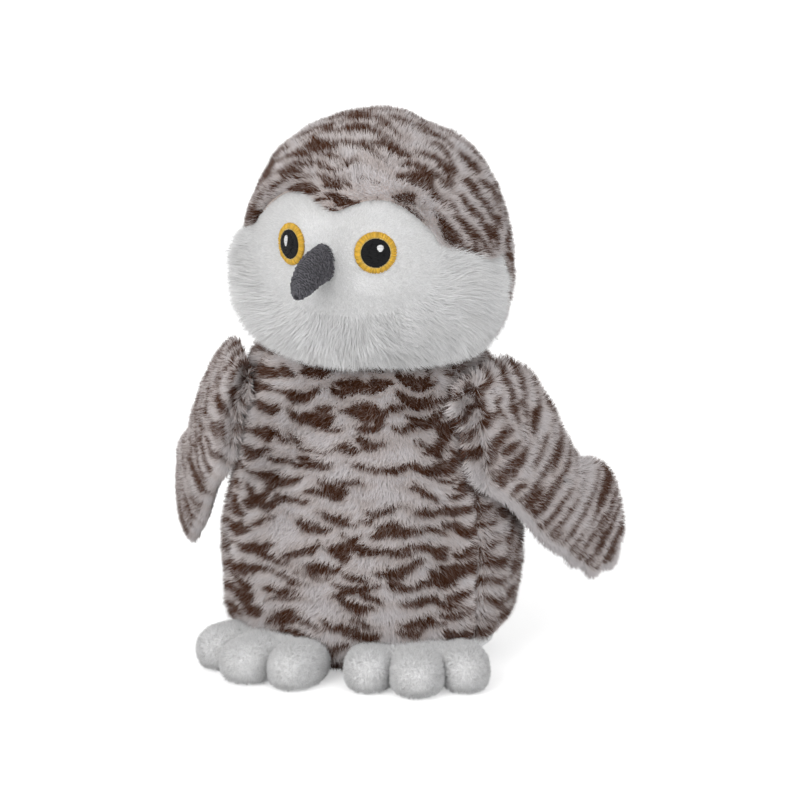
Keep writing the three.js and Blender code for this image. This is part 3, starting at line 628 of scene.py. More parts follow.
def read_mark(mesh, name, width):
    """A mark's values at each point, as wide as given."""
    values = np.zeros(len(mesh.vertices) * width, np.float32)
    mesh.attributes[name].data.foreach_get("vector" if width > 1 else "value", values)
    return values.reshape(-1, width) if width > 1 else values


def marked_mesh(name, points, faces, marks):
    """A mesh from points in millimetres, which keeps its marks."""
    mesh = bpy.data.meshes.new(name)
    mesh.from_pydata((points * MM).tolist(), [], faces)
    for mark, values in marks.items():
        set_mark(mesh, mark, values)
    return mesh


def drop_marks(mesh, names):
    for name in names:
        if name in mesh.attributes:
            mesh.attributes.remove(mesh.attributes[name])


def grow_pile(name, sheet, kind, density, length, seed, lean=0.55, tuft_lean=1.0, stray=0.25, width=1.0,
              tuft_size=1.0, relief=0.45):
    """A piece of combed pile over a sheet, in fibres per square millimetre and metres of length."""
    pile = bpy.context.scene.owl_pile
    count = len(sheet.points)
    marks = {name: sheet.marks[name] for name in ("cover", "pile", "nap", "facing", "weave")}
    marks["flat"] = np.column_stack([sheet.marks["map"], np.zeros(count)])
    marks["bare"] = sheet.marks.get("bare", np.zeros(count))
    ground = add_object("ground", marked_mesh("ground", sheet.points, sheet.faces, marks))
    mesh = run_tree(ground, laid_tree("Combed Pile", pile_tree), {
        "Fibre": spike_fibre(), "Density": density * 1e6 * pile.fullness, "Length": length,
        "Width": pile.fibre_width * width, "Lean": lean, "Tuft Size": pile.tuft_size * tuft_size,
        "Tuft Lean": tuft_lean, "Stray": stray, "Relief": relief, "Seed": seed, "Material": finish(kind),
    })
    mesh.name = name
    margin, used, fibre_across, fibre_along = 0.02, 0.95, 0.0011, 0.0032
    tip, side = read_mark(mesh, "tip", 1), read_mark(mesh, "side", 1)
    root = read_mark(mesh, "flat", 3)[:, :2]
    set_map(mesh, margin + root * used + np.stack([side * fibre_across, tip * fibre_along], -1))
    set_smooth(mesh)
    mesh.normals_split_custom_set_from_vertices(unit(read_mark(mesh, "lit", 3)))
    drop_marks(mesh, ("cover", "pile", "nap", "facing", "flat", "lit", "side"))
    return add_object(name, mesh)


# Materials


def material_of(name):
    """A new material with its tree and its surface shader."""
    made = bpy.data.materials.new(name)
    made.use_nodes = True
    return made, made.node_tree, made.node_tree.nodes["Principled BSDF"]


def mark_of(tree, name, output="Fac"):
    """A mark held by the mesh, read in a material."""
    made = add_node(tree, "ShaderNodeAttribute", attribute_name=name, attribute_type="GEOMETRY")
    return made.outputs[output]


def cloth_noise(tree, pitch, detail=2.0, place=None):
    """Soft noise over an object, or over a given place, with so many swells to a unit of length."""
    place = place or add_node(tree, "ShaderNodeTexCoord").outputs["Object"]
    return add_node(tree, "ShaderNodeTexNoise", {"Vector": place, "Scale": pitch, "Detail": detail}).outputs[0]


def lock_noise(tree, spread):
    """White noise that is the same all along one lock of fibres."""
    key = reckon(tree, "MULTIPLY", mark_of(tree, "shade"), spread)
    return add_node(tree, "ShaderNodeTexWhiteNoise", {"W": key}, noise_dimensions="1D").outputs


def shaded(tree, colour, lift, root_shade):
    """A colour that differs at random from lock to lock, with painted shade that darkens it from tip to root, each
    by a share and a least.
    """
    value = reckon(tree, "MULTIPLY", *(
        reckon(tree, "ADD", reckon(tree, "MULTIPLY", mark_of(tree, name), share), least)
        for name, (share, least) in (("shade", lift), ("tip", root_shade))
    ))
    grey = add_node(tree, "ShaderNodeCombineColor", {0: value, 1: value, 2: value}).outputs[0]
    return blend_colours(tree, 1.0, colour, grey, "MULTIPLY")


def set_surface(tree, surface, colour, roughness, specular, **more):
    """Gives a surface shader its colour and its shine."""
    feed(tree, surface, {
        "Base Color": colour, "Roughness": roughness, "Specular IOR Level": specular, **more,
    })


def dash_group():
    """Rows of brush-like brown dashes over a flat place in millimetres."""
    tree = bpy.data.node_groups.new("Brown Dashes", "ShaderNodeTree")
    numbers = ["Row Spacing", "Dash Length", "Dash Width", "Waviness", "Presence", "Softness", "Bareness"]
    open_sockets(tree, {"Vector": ["Place"], "Float": numbers})
    open_sockets(tree, {"Float": ["Dash", "Halo"]}, "OUTPUT")
    given = tree.nodes.new("NodeGroupInput").outputs
    place = given["Place"]
    row_slip, other_key, shortest_half, half_range = 7.0, 17.0, 0.33, 0.17
    most_tilt, bow, bow_start, thinnest, width_range, end_loss = 3.2, 1.4, -0.5, 0.55, 0.75, 0.6
    bare_loss, absent_loss, halo_slope, halo_edge = 3.5, 9.0, 0.28, 0.85

    bent = place
    for length, amount in ((34, given["Waviness"]), (9, 4.0), (3, 1.9)):
        noise = add_node(tree, "ShaderNodeTexNoise", {"Vector": place, "Scale": 1 / length, "Detail": 1.0})
        away = reckon_vector(tree, "SUBTRACT", noise.outputs["Color"], (0.5, 0.5, 0.5))
        bent = reckon_vector(tree, "ADD", bent, reckon_vector(tree, "SCALE", away, amount))
    x, y = add_node(tree, "ShaderNodeSeparateXYZ", {0: bent}).outputs[:2]
    seed = add_node(tree, "ShaderNodeSeparateXYZ", {0: place}).outputs[2]
    rows = reckon(tree, "DIVIDE", y, given["Row Spacing"])
    row = reckon(tree, "FLOOR", rows)
    aside = reckon(tree, "SUBTRACT", reckon(tree, "FRACT", rows), 0.5)
    aside = reckon(tree, "MULTIPLY", aside, given["Row Spacing"])

    def drawn(*values):
        """Three random numbers that belong to the given ones."""
        key = add_node(tree, "ShaderNodeCombineXYZ", dict(enumerate(values))).outputs[0]
        colour = add_node(tree, "ShaderNodeTexWhiteNoise", {"Vector": key}, noise_dimensions="3D").outputs["Color"]
        return add_node(tree, "ShaderNodeSeparateColor", {0: colour}).outputs

    slip = reckon(tree, "MULTIPLY", drawn(row, 3.3, seed)[0], row_slip)
    cells = reckon(tree, "ADD", reckon(tree, "DIVIDE", x, given["Dash Length"]), slip)
    cell = reckon(tree, "FLOOR", cells)
    shape = drawn(cell, row, seed)
    other = drawn(cell, row, reckon(tree, "ADD", seed, other_key))
    reach = reckon(tree, "MULTIPLY_ADD", shape[0], half_range, shortest_half)
    spare = reckon(tree, "MULTIPLY_ADD", reach, -2.0, 1.0)
    shift = reckon(tree, "MULTIPLY", reckon(tree, "SUBTRACT", shape[1], 0.5), spare)
    inside = reckon(tree, "SUBTRACT", reckon(tree, "SUBTRACT", reckon(tree, "FRACT", cells), 0.5), shift)
    share = reckon(tree, "DIVIDE", inside, reach)
    square = reckon(tree, "MULTIPLY", share, share)
    taper = reckon(tree, "POWER", reckon(tree, "SUBTRACT", 1.0, square, clamp=True), 0.5)
    tilt = reckon(tree, "MULTIPLY", reckon(tree, "SUBTRACT", shape[2], 0.5), most_tilt)
    bowed = reckon(tree, "MULTIPLY_ADD", square, bow, bow_start)
    bend = reckon(tree, "MULTIPLY_ADD", share, tilt, bowed)
    full = reckon(tree, "MULTIPLY_ADD", other[0], width_range, thinnest)
    full = reckon(tree, "MULTIPLY", full, given["Dash Width"])
    thinned = reckon(tree, "MULTIPLY_ADD", taper, end_loss, -end_loss)
    half = reckon(tree, "MULTIPLY_ADD", full, taper, thinned)
    absent = reckon(tree, "GREATER_THAN", other[1], given["Presence"])
    less = reckon(tree, "MULTIPLY", absent, absent_loss)
    less = reckon(tree, "MULTIPLY_ADD", given["Bareness"], bare_loss, less)
    half = reckon(tree, "SUBTRACT", half, less)
    off = reckon(tree, "ABSOLUTE", reckon(tree, "SUBTRACT", aside, bend))
    depth = reckon(tree, "SUBTRACT", half, off)
    edge = reckon(tree, "DIVIDE", depth, given["Softness"])
    halo = reckon(tree, "MULTIPLY_ADD", depth, halo_slope, halo_edge, clamp=True)
    add_node(tree, "NodeGroupOutput", {0: reckon(tree, "ADD", edge, 0.5, clamp=True), 1: halo})
    return tree


def striped_colour(tree, jitter):
    """The striped plush's colour from its weave mark, frayed by a jitter in millimetres."""
    pattern, colours = bpy.context.scene.owl_pattern, bpy.context.scene.owl_colours
    group = bpy.data.node_groups.get("Brown Dashes") or dash_group()
    place = mark_of(tree, "weave", "Vector")
    if jitter is not None:
        place = reckon_vector(tree, "ADD", place, jitter)
    halo_strength, backing_strength, fringe = 0.46, 0.97, 0.5
    layers, bare = [], mark_of(tree, "bare")
    for shift, length, width, presence in (((0, 0, 0), 1.0, 1.0, 0.95), ((57, 4.3, 31), 0.66, 0.75, 0.92)):
        layers.append(add_node(tree, "ShaderNodeGroup", node_tree=group))
        feed(tree, layers[-1], {
            "Place": reckon_vector(tree, "ADD", place, shift), "Row Spacing": pattern.row_spacing,
            "Dash Length": pattern.dash_length * length, "Dash Width": pattern.dash_width * width,
            "Waviness": pattern.waviness, "Presence": presence, "Softness": fringe, "Bareness": bare,
        })
    dash, halo = (reckon(tree, "MAXIMUM", *(layer.outputs[k] for layer in layers)) for k in (0, 1))
    white, cream, haze = (
        opaque(colours.white, *shares) for shares in ((1, 1, 1), (0.97, 0.935, 0.91), (0.58, 0.44, 0.34))
    )
    ground = blend_colours(tree, cloth_noise(tree, 1 / 16, place=place), white, cream)
    ground = blend_colours(tree, reckon(tree, "MULTIPLY", halo, halo_strength), ground, haze)
    worn = reckon(tree, "MULTIPLY", dash, backing_strength if jitter is None else speckle(tree))
    return blend_colours(tree, worn, ground, opaque(colours.brown))


def speckle(tree):
    """How fully each lock takes the dash colour: most of them fully, some only in part."""
    drawn = lock_noise(tree, 577.0)["Value"]
    return reckon(tree, "MULTIPLY_ADD", reckon(tree, "POWER", drawn, 4.0), -0.5, 1.0)


def striped_pile(name):
    """Striped fibres: each lock takes the colour at its end, with painted shade that makes it darker towards its
    root.
    """
    made, tree, surface = material_of(name)
    draw = lock_noise(tree, 931.0)
    aim = reckon_vector(tree, "SUBTRACT", draw["Color"], (0.5, 0.5, 0.5))
    fray = reckon(tree, "MULTIPLY_ADD", reckon(tree, "POWER", draw["Value"], 4.0), 3.2, 0.8)
    jitter = reckon_vector(tree, "MULTIPLY", reckon_vector(tree, "SCALE", aim, fray), (1.0, 1.0, 0.0))
    # A random lift from lock to lock, and painted shade that darkens each lock towards its root
    colour = shaded(tree, striped_colour(tree, jitter), (0.16, 0.88), (0.34, 0.72))
    set_surface(tree, surface, colour, 0.85, 0.0)
    return made


def striped_backing(name):
    """Knitted backing under the striped pile, in the pile's own pattern, darkened and warmed with painted shade as
    at the pile's roots.
    """
    made, tree, surface = material_of(name)
    # Painted shade: the pattern multiplied darker and warmer, as the shade deep among the fibres
    root_shade = blend_colours(tree, 1.0, striped_colour(tree, None), (0.8, 0.74, 0.7, 1), "MULTIPLY")
    knit_bump(tree, surface, 0.5)
    set_surface(tree, surface, root_shade, 0.95, 0.1)
    return made


def knit_bump(tree, surface, strength, scale=1400.0):
    """A fine raised grain, as of knitted cloth."""
    bump = add_node(tree, "ShaderNodeBump", {
        "Strength": strength, "Distance": 0.0006, "Height": cloth_noise(tree, scale, 3.0),
    })
    feed(tree, surface, {"Normal": bump.outputs[0]})


def white_pile(name, depth=0.1, tint=1.0, contrast=0.2):
    """White fibres with a soft difference from lock to lock, and painted shade darker towards the roots by a
    depth.
    """
    made, tree, surface = material_of(name)
    snow = bpy.context.scene.owl_colours.snow
    bright, dull = (opaque(snow, *(k * tint for k in shares)) for shares in ((1, 1, 1), (0.93, 0.925, 0.91)))
    ground = blend_colours(tree, cloth_noise(tree, 70.0), bright, dull)
    # Random lift from lock to lock, and painted shade towards the roots by the depth
    colour = shaded(tree, ground, (contrast, 1.0 - contrast * 0.6), (depth, 1.0 - depth))
    set_surface(tree, surface, colour, 0.9, 0.12, **{"Sheen Weight": 0.4, "Sheen Roughness": 0.5})
    return made


def cloth_finish(name, colour, strength=0.4, scale=1400.0, roughness=0.95, depth=0.12):
    """Plain cloth or fibre: a colour that varies a little, with a fine raised grain."""
    made, tree, surface = material_of(name)
    dark = opaque(colour, *[1 - depth] * 3)
    knit_bump(tree, surface, strength, scale)
    tone = blend_colours(tree, cloth_noise(tree, 140.0, 3.0), dark, opaque(colour))
    set_surface(tree, surface, tone, roughness, 0.15)
    return made


def thread_finish(name, colour, roughness=0.42, specular=0.4):
    """Satin thread: strand to strand differences and a soft shine."""
    made, tree, surface = material_of(name)
    strands, grain = (
        reckon(tree, "MULTIPLY", value, share)
        for value, share in ((mark_of(tree, "shade"), 0.7), (cloth_noise(tree, 2600.0), 0.3))
    )
    dark = opaque(colour, 0.5, 0.5, 0.5)
    tone = blend_colours(tree, reckon(tree, "ADD", strands, grain), dark, opaque(colour))
    set_surface(tree, surface, tone, roughness, specular)
    return made


def finish(name):
    """A material by name, made once."""
    if name in bpy.data.materials:
        return bpy.data.materials[name]
    colours = bpy.context.scene.owl_colours
    makers = {
        "striped pile": (striped_pile,),
        "striped backing": (striped_backing,),
        # White piles take a depth of painted shade towards the fibre roots, then a tint and a contrast
        "white pile": (white_pile,),
        "face pile": (white_pile, 0.08, 0.88),
        "ruff pile": (white_pile, 0.24, 1.0, 0.26),
        "foot pile": (white_pile, 0.06, 1.0, 0.25),
        "white backing": (cloth_finish, [c * 0.96 for c in colours.snow]),
        "grey loops": (thread_finish, colours.slate, 0.85, 0.15),
        "grey backing": (cloth_finish, [c * 0.5 for c in colours.slate]),
        "yellow thread": (thread_finish, colours.gold),
        # Pale yellow thread that paints the highlight line between pupil and ring
        "pale thread": (thread_finish, (0.85, 0.68, 0.3)),
        "black thread": (thread_finish, (0.006, 0.006, 0.007), 0.5, 0.2),
        "white thread": (thread_finish, (0.9, 0.9, 0.9)),
        "stuffing fibre": (cloth_finish, (0.86, 0.86, 0.86), 0.8, 500.0),
        "pouch cloth": (cloth_finish, (0.72, 0.7, 0.64), 0.5, 900.0),
        "pellets": (cloth_finish, (0.58, 0.57, 0.53), 1.0, 420.0, 0.5),
    }
    maker, *values = makers[name]
    return maker(name, *values)


# Dressing the torso


BACKINGS = {
    "striped_plush": "striped backing", "white_short_plush": "white backing",
    "white_long_plush": "white backing", "grey_looped_plush": "grey backing",
}


def settle(piece, nodes=(), bend=None):
    """Settles a piece: bakes its transform where a bend is given, else hangs it on the torso, and hides the CAD
    nodes that it stands for.
    """
    if bend:
        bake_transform(piece)
    else:
        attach(piece, "torso")
    if nodes:
        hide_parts(*nodes)
    return piece


def padded_cover(name, sheet, thickness, slot, nodes, bend=None, mapped=True):
    """A stuffed cover that stands for CAD nodes."""
    mesh = closed_mesh(name, sheet, thickness, finish(BACKINGS[slot]), mapped)
    settle(add_object(name, mesh), nodes, bend)


def pile_piece(name, sheet, slot, bend=None, **growth):
    """Pile that grows on a cover and goes where the cover goes."""
    settle(grow_pile(name, sheet, **growth), bend=bend)


def level_along(normals, direction):
    """A direction laid flat on the surface, of unit length."""
    return unit(direction - normals * np.sum(normals * direction, axis=1)[:, None])


def seam_dip(distance, depth, width):
    """A dip along a seam, deepest at no distance from it."""
    return depth * np.exp(-((distance / width) ** 2))


def body_sheet(start, end, columns, rows):
    """Part of the body's cover between two azimuths, pulled in at its seams."""
    deepest, into_neck, row_turn = -7.0, 4.5, 57.0
    top = BODY.share_at(NECK_HEIGHT + into_neck)
    azimuth, share = np.meshgrid(np.linspace(start, end, columns), np.linspace(0, 1, rows))
    azimuth, share = azimuth.ravel(), share.ravel()
    low = base_seam_share(azimuth)
    share = low + share * (top - low)
    flat = BODY.at(azimuth, share)
    turn = np.abs(azimuth)
    away = np.minimum(np.abs(turn - SIDE_SEAM), math.pi - turn) * np.hypot(flat[:, 0], flat[:, 1])
    lumps = 1.3 * ripple(flat, 26, 5) + 0.5 * ripple(flat, 11, 8)
    neck = smoothstep(flat[:, 2], NECK_HEIGHT - 16, NECK_HEIGHT)
    offset = BODY_UNDER + lumps * (1 - neck) - seam_dip(away, 1.9, 3.4)
    points = BODY.at(azimuth, share, np.maximum(offset, deepest))
    points[:, 2] = np.minimum(points[:, 2], NECK_HEIGHT - 0.2 + 0.02 * (points[:, 2] - NECK_HEIGHT))
    place = np.stack([(azimuth - start) / (end - start), (share - share.min()) / np.ptp(share)], -1)
    behind = row_turn * (np.abs(start + end) > 1)
    weave = np.stack([azimuth * BODY_WEAVE, flat[:, 2] + behind, np.full(len(flat), behind)], -1)
    bare = sum(
        np.exp(-(((flat[:, 0] - x) / wide) ** 2) - ((flat[:, 2] - z) / tall) ** 2) * (flat[:, 1] < 0)
        for x, z, wide, tall in (
            (-9, 106, 9, 5), (22, 86, 13, 6), (-10, 37, 10, 8), (27, 105, 10, 4), (20, 30, 8, 4),
        )
    )
    sheet = Sheet(points, grid_faces(rows, columns), map=place, weave=weave, bare=bare)
    normals = sheet.normals()
    down = level_along(normals, np.tile([0.0, 0.0, -1.0], (len(points), 1)))
    over = np.stack([np.cos(azimuth), np.sin(azimuth), np.zeros(len(flat))], -1)
    over = np.sign(azimuth - (start + end) / 2)[:, None] * over
    closing = (seam_dip(away, 1.0, 4.5) * (1 + 0.6 * ripple(flat, 7, 44)))[:, None]
    nap = down + 0.5 * swirl(flat, 34, 21) + 1.8 * closing * over
    nap = level_along(normals, nap) * (1 + 1.5 * closing)
    hem = smoothstep(flat[:, 2], 8, 20) + (1 - smoothstep(turn, 0.7, 1.1))
    pile = (1.0 + 0.12 * ripple(flat, 15, 31)) * (0.5 + 0.5 * np.minimum(hem, 1))
    pile = pile * (1 - seam_dip(away, 0.4, 2.6) * (1 - smoothstep(flat[:, 2], 70, 84)))
    past_seam = turn - SIDE_SEAM
    pressed = smoothstep(past_seam, 0.08, 0.25) * (1 - smoothstep(past_seam, 0.8, 1.0))
    height = smoothstep(flat[:, 2], 55, 75) * (1 - smoothstep(flat[:, 2], 118, 132))
    pile = pile * (1 - 0.42 * pressed * height)
    sheet.marks.update(facing=normals, nap=nap, pile=pile, cover=np.ones(len(points)))
    return sheet


def base_seam_share(azimuth):
    """Where the base panel's seam runs round the body."""
    behind, ahead, middle, reached = 12, 3.5, 7.75, 0.92
    rise = (behind - ahead) / BODY_DEPTH
    height = middle + reached * BODY_DEPTH / 2 * rise * -np.cos(azimuth)
    side = smoothstep(np.abs(azimuth), 0.7, 1.0) * (1 - smoothstep(np.abs(azimuth), 1.15, 1.6))
    between = 1 - smoothstep(np.abs(azimuth), 0.25, 0.6)
    return BODY.share_at(height + 5.5 * side - 3.5 * between)


class OWL_OT_body(bpy.types.Operator):
    """Covers the body with striped plush and its base with white plush"""

    bl_idname = "owl.body"
    bl_label = "Body"

    def execute(self, context):
        pile = context.scene.owl_pile
        for name, start, end, columns, rows, density, seed in (
            ("body_front", -SIDE_SEAM, SIDE_SEAM, 104, 100, 3.7, 11),
            ("left_back", SIDE_SEAM + 0.004, math.pi - 0.003, 90, 86, 2.4, 12),
            ("right_back", -math.pi + 0.003, -SIDE_SEAM - 0.004, 90, 86, 2.4, 13),
        ):
            sheet = body_sheet(start, end, columns, rows)
            padded_cover(f"{name}_cover", sheet, 1.2, "striped_plush", [f"{name}_panel"])
            pile_piece(
                f"{name}_pile", sheet, "striped_plush", kind="striped pile", density=density,
                length=pile.striped_length, seed=seed, lean=0.35, tuft_lean=1.1, stray=0.3,
            )
        self.base(pile)
        return {"FINISHED"}

    def base(self, pile):
        """The base panel, from a flat middle on the floor up to the body's covers."""
        around, rings = 160, 26
        azimuth = np.linspace(-math.pi, math.pi, around, endpoint=False)
        seam = base_seam_share(azimuth)
        shares = np.linspace(0, 1, rings // 2 + 1)[1:]
        points = [ring * [1, 1, 0] for ring in BODY.at(azimuth, np.zeros(around), -6.4) * shares[:, None, None]]
        points = np.concatenate([np.zeros((1, 3))] + points) + [0, 0, FLOOR_GAP]
        for share in shares:
            ring = BODY.at(azimuth, seam * share, -4.9 - 0.7 * (1 - share) - 0.8 * (1 - share) ** 6)
            ring[:, 2] = np.maximum(ring[:, 2], FLOOR_GAP + 0.5 * share)
            points = np.concatenate([points, ring])
        sheet = Sheet(points, disc_faces(rings, around), map=0.5 + points[:, :2] / 140)
        sheet.turned_out(points * [0.2, 0.2, 0] + [0, 0, -1])
        normals = sheet.normals()
        down = level_along(normals, points * [0.01, 0.01, 0] + [0.001, 0, -1])
        raised = np.column_stack([normals[:, :2] + 0.02 * points[:, :2], np.maximum(normals[:, 2], -0.1)])
        sheet.marks.update(
            facing=unit(raised), nap=down, pile=np.ones(len(points)), weave=points * [1, 1, 0],
            cover=smoothstep(normals[:, 2], -0.6, -0.35),
        )
        padded_cover("base_cover", sheet, 1.0, "white_short_plush", ["base_panel"])
        pile_piece(
            "base_pile", sheet, "white_short_plush", kind="foot pile", density=7.5,
            length=pile.short_length * 1.4, seed=17, lean=0.3, stray=0.8, tuft_lean=1.3, tuft_size=0.4,
            width=1.4, relief=0.6,
        )


# Dressing the head


def outline_distance(outline, flat):
    """Distance of flat points inside a closed outline, below zero outside it."""
    a, b = outline, np.roll(outline, -1, axis=0)
    best = np.full(len(flat), 1e9)
    inside = np.zeros(len(flat), bool)
    for (ax, ay), (bx, by) in zip(a, b):
        dx, dy = bx - ax, by - ay
        t = np.clip(((flat[:, 0] - ax) * dx + (flat[:, 1] - ay) * dy) / (dx * dx + dy * dy), 0, 1)
        best = np.minimum(best, np.hypot(flat[:, 0] - ax - t * dx, flat[:, 1] - ay - t * dy))
        if ay != by:
            crosses = (ay > flat[:, 1]) != (by > flat[:, 1])
            inside ^= crosses & (flat[:, 0] < ax + dx * (flat[:, 1] - ay) / dy)
    return np.where(inside, best, -best)


def face_outline(count=90):
    """The face panel's edge, seen from ahead."""
    right = np.array(FACE_SHARES) * [HEAD_WIDTH / 2, OWL_HEIGHT - NECK_HEIGHT] + [0, NECK_HEIGHT]
    ring = np.concatenate([right, right[-2:0:-1] * [-1, 1]])
    return along(spline(ring, closed=True), np.arange(count) / count)


def ruff_edge(across):
    """How high the ruff reaches at a distance from the head's middle."""
    edge = np.array(RUFF_EDGE_SHARES) * [HEAD_WIDTH / 2, OWL_HEIGHT - NECK_HEIGHT] + [0, NECK_HEIGHT]
    return np.interp(np.abs(across), edge[:, 0], edge[:, 1])


def head_weave(points):
    """Where the head's points lie in the dash pattern, whose rows arch over the face."""
    tilt, radius = math.radians(28), 58.0
    away = unit(points - [0, 0, NECK_HEIGHT + 46])
    polar = np.arccos(away @ [0, -math.cos(tilt), -math.sin(tilt)])
    round_it = np.arctan2(away[:, 0], away @ [0, -math.sin(tilt), math.cos(tilt)])
    return np.stack([round_it * radius * np.sin(polar), -polar * radius, np.full(len(points), 9.0)], -1)


def head_sheet(rows=126, columns=270):
    """The whole head as one sheet in its own coordinates, with distances to its seams."""
    low = HEAD.share_at(NECK_HEIGHT - 4.5)
    azimuth = np.linspace(-math.pi, math.pi, columns, endpoint=False)
    azimuth, share = np.meshgrid(azimuth, np.linspace(low, 1, rows))
    azimuth, share = azimuth.ravel(), share.ravel()
    flat = HEAD.at(azimuth, share)
    front = flat[:, 1] < 0
    face = outline_distance(face_outline(), flat[:, [0, 2]])
    face = np.where(front, face, -60)
    ruff = np.minimum(ruff_edge(flat[:, 0]) - flat[:, 2], RUFF_BACK - flat[:, 1])
    seam = flat[:, 1] - HOOD_SEAM
    lumps = 1.0 * ripple(flat, 24, 41) + 0.45 * ripple(flat, 10, 44)
    brim = smoothstep(-face, 0, 14)
    calm = smoothstep(-face, 0, 20)
    high = smoothstep(flat[:, 2], ruff_edge(flat[:, 0]) - 10, ruff_edge(flat[:, 0]) + 4)
    hood = HOOD_UNDER + lumps * calm - seam_dip(seam, 1.2, 2.6)
    chin = FACE_UNDER + 1.3 * brim + 0.5 * lumps * calm
    offset = chin + (hood - chin) * np.where(front | (seam < 0), high, 1.0)
    points = HEAD.at(azimuth, share, offset)
    points[:, 2] = np.maximum(points[:, 2], NECK_HEIGHT + 0.2 + 0.02 * (points[:, 2] - NECK_HEIGHT))
    far = 1 - share
    place = 0.5 + np.stack([far * np.sin(azimuth), far * np.cos(azimuth)], -1) / (2 * (1 - low))
    weave = head_weave(flat)
    bare = np.exp(-(((flat[:, 0] - 13) / 8) ** 2) - ((flat[:, 2] - 222) / 12) ** 2) * 0.55 * front
    last = (rows - 1) * columns
    faces = [*grid_faces(rows, columns, True), *cap_faces(last, columns)]
    marks = {
        "map": (place, [0.5, 0.5]), "weave": (weave, weave[-1]), "bare": (bare, 0.0), "face": (face, -60.0),
        "ruff": (ruff, -60.0), "seam": (seam, -HOOD_SEAM),
    }
    marks = {name: np.concatenate([values, [at_crown]]) for name, (values, at_crown) in marks.items()}
    return Sheet(np.concatenate([points, points[last:].mean(0)[None]]), faces, **marks)


def head_part(sheet, keep):
    """A part of the head's sheet, moved to its place on the owl."""
    part = sheet.trimmed(keep)
    part.marks["own"] = part.points
    part.points = head_to_world(part.points)
    part.marks["facing"] = part.normals()
    part.marks["cover"] = np.ones(len(part.points))
    return part


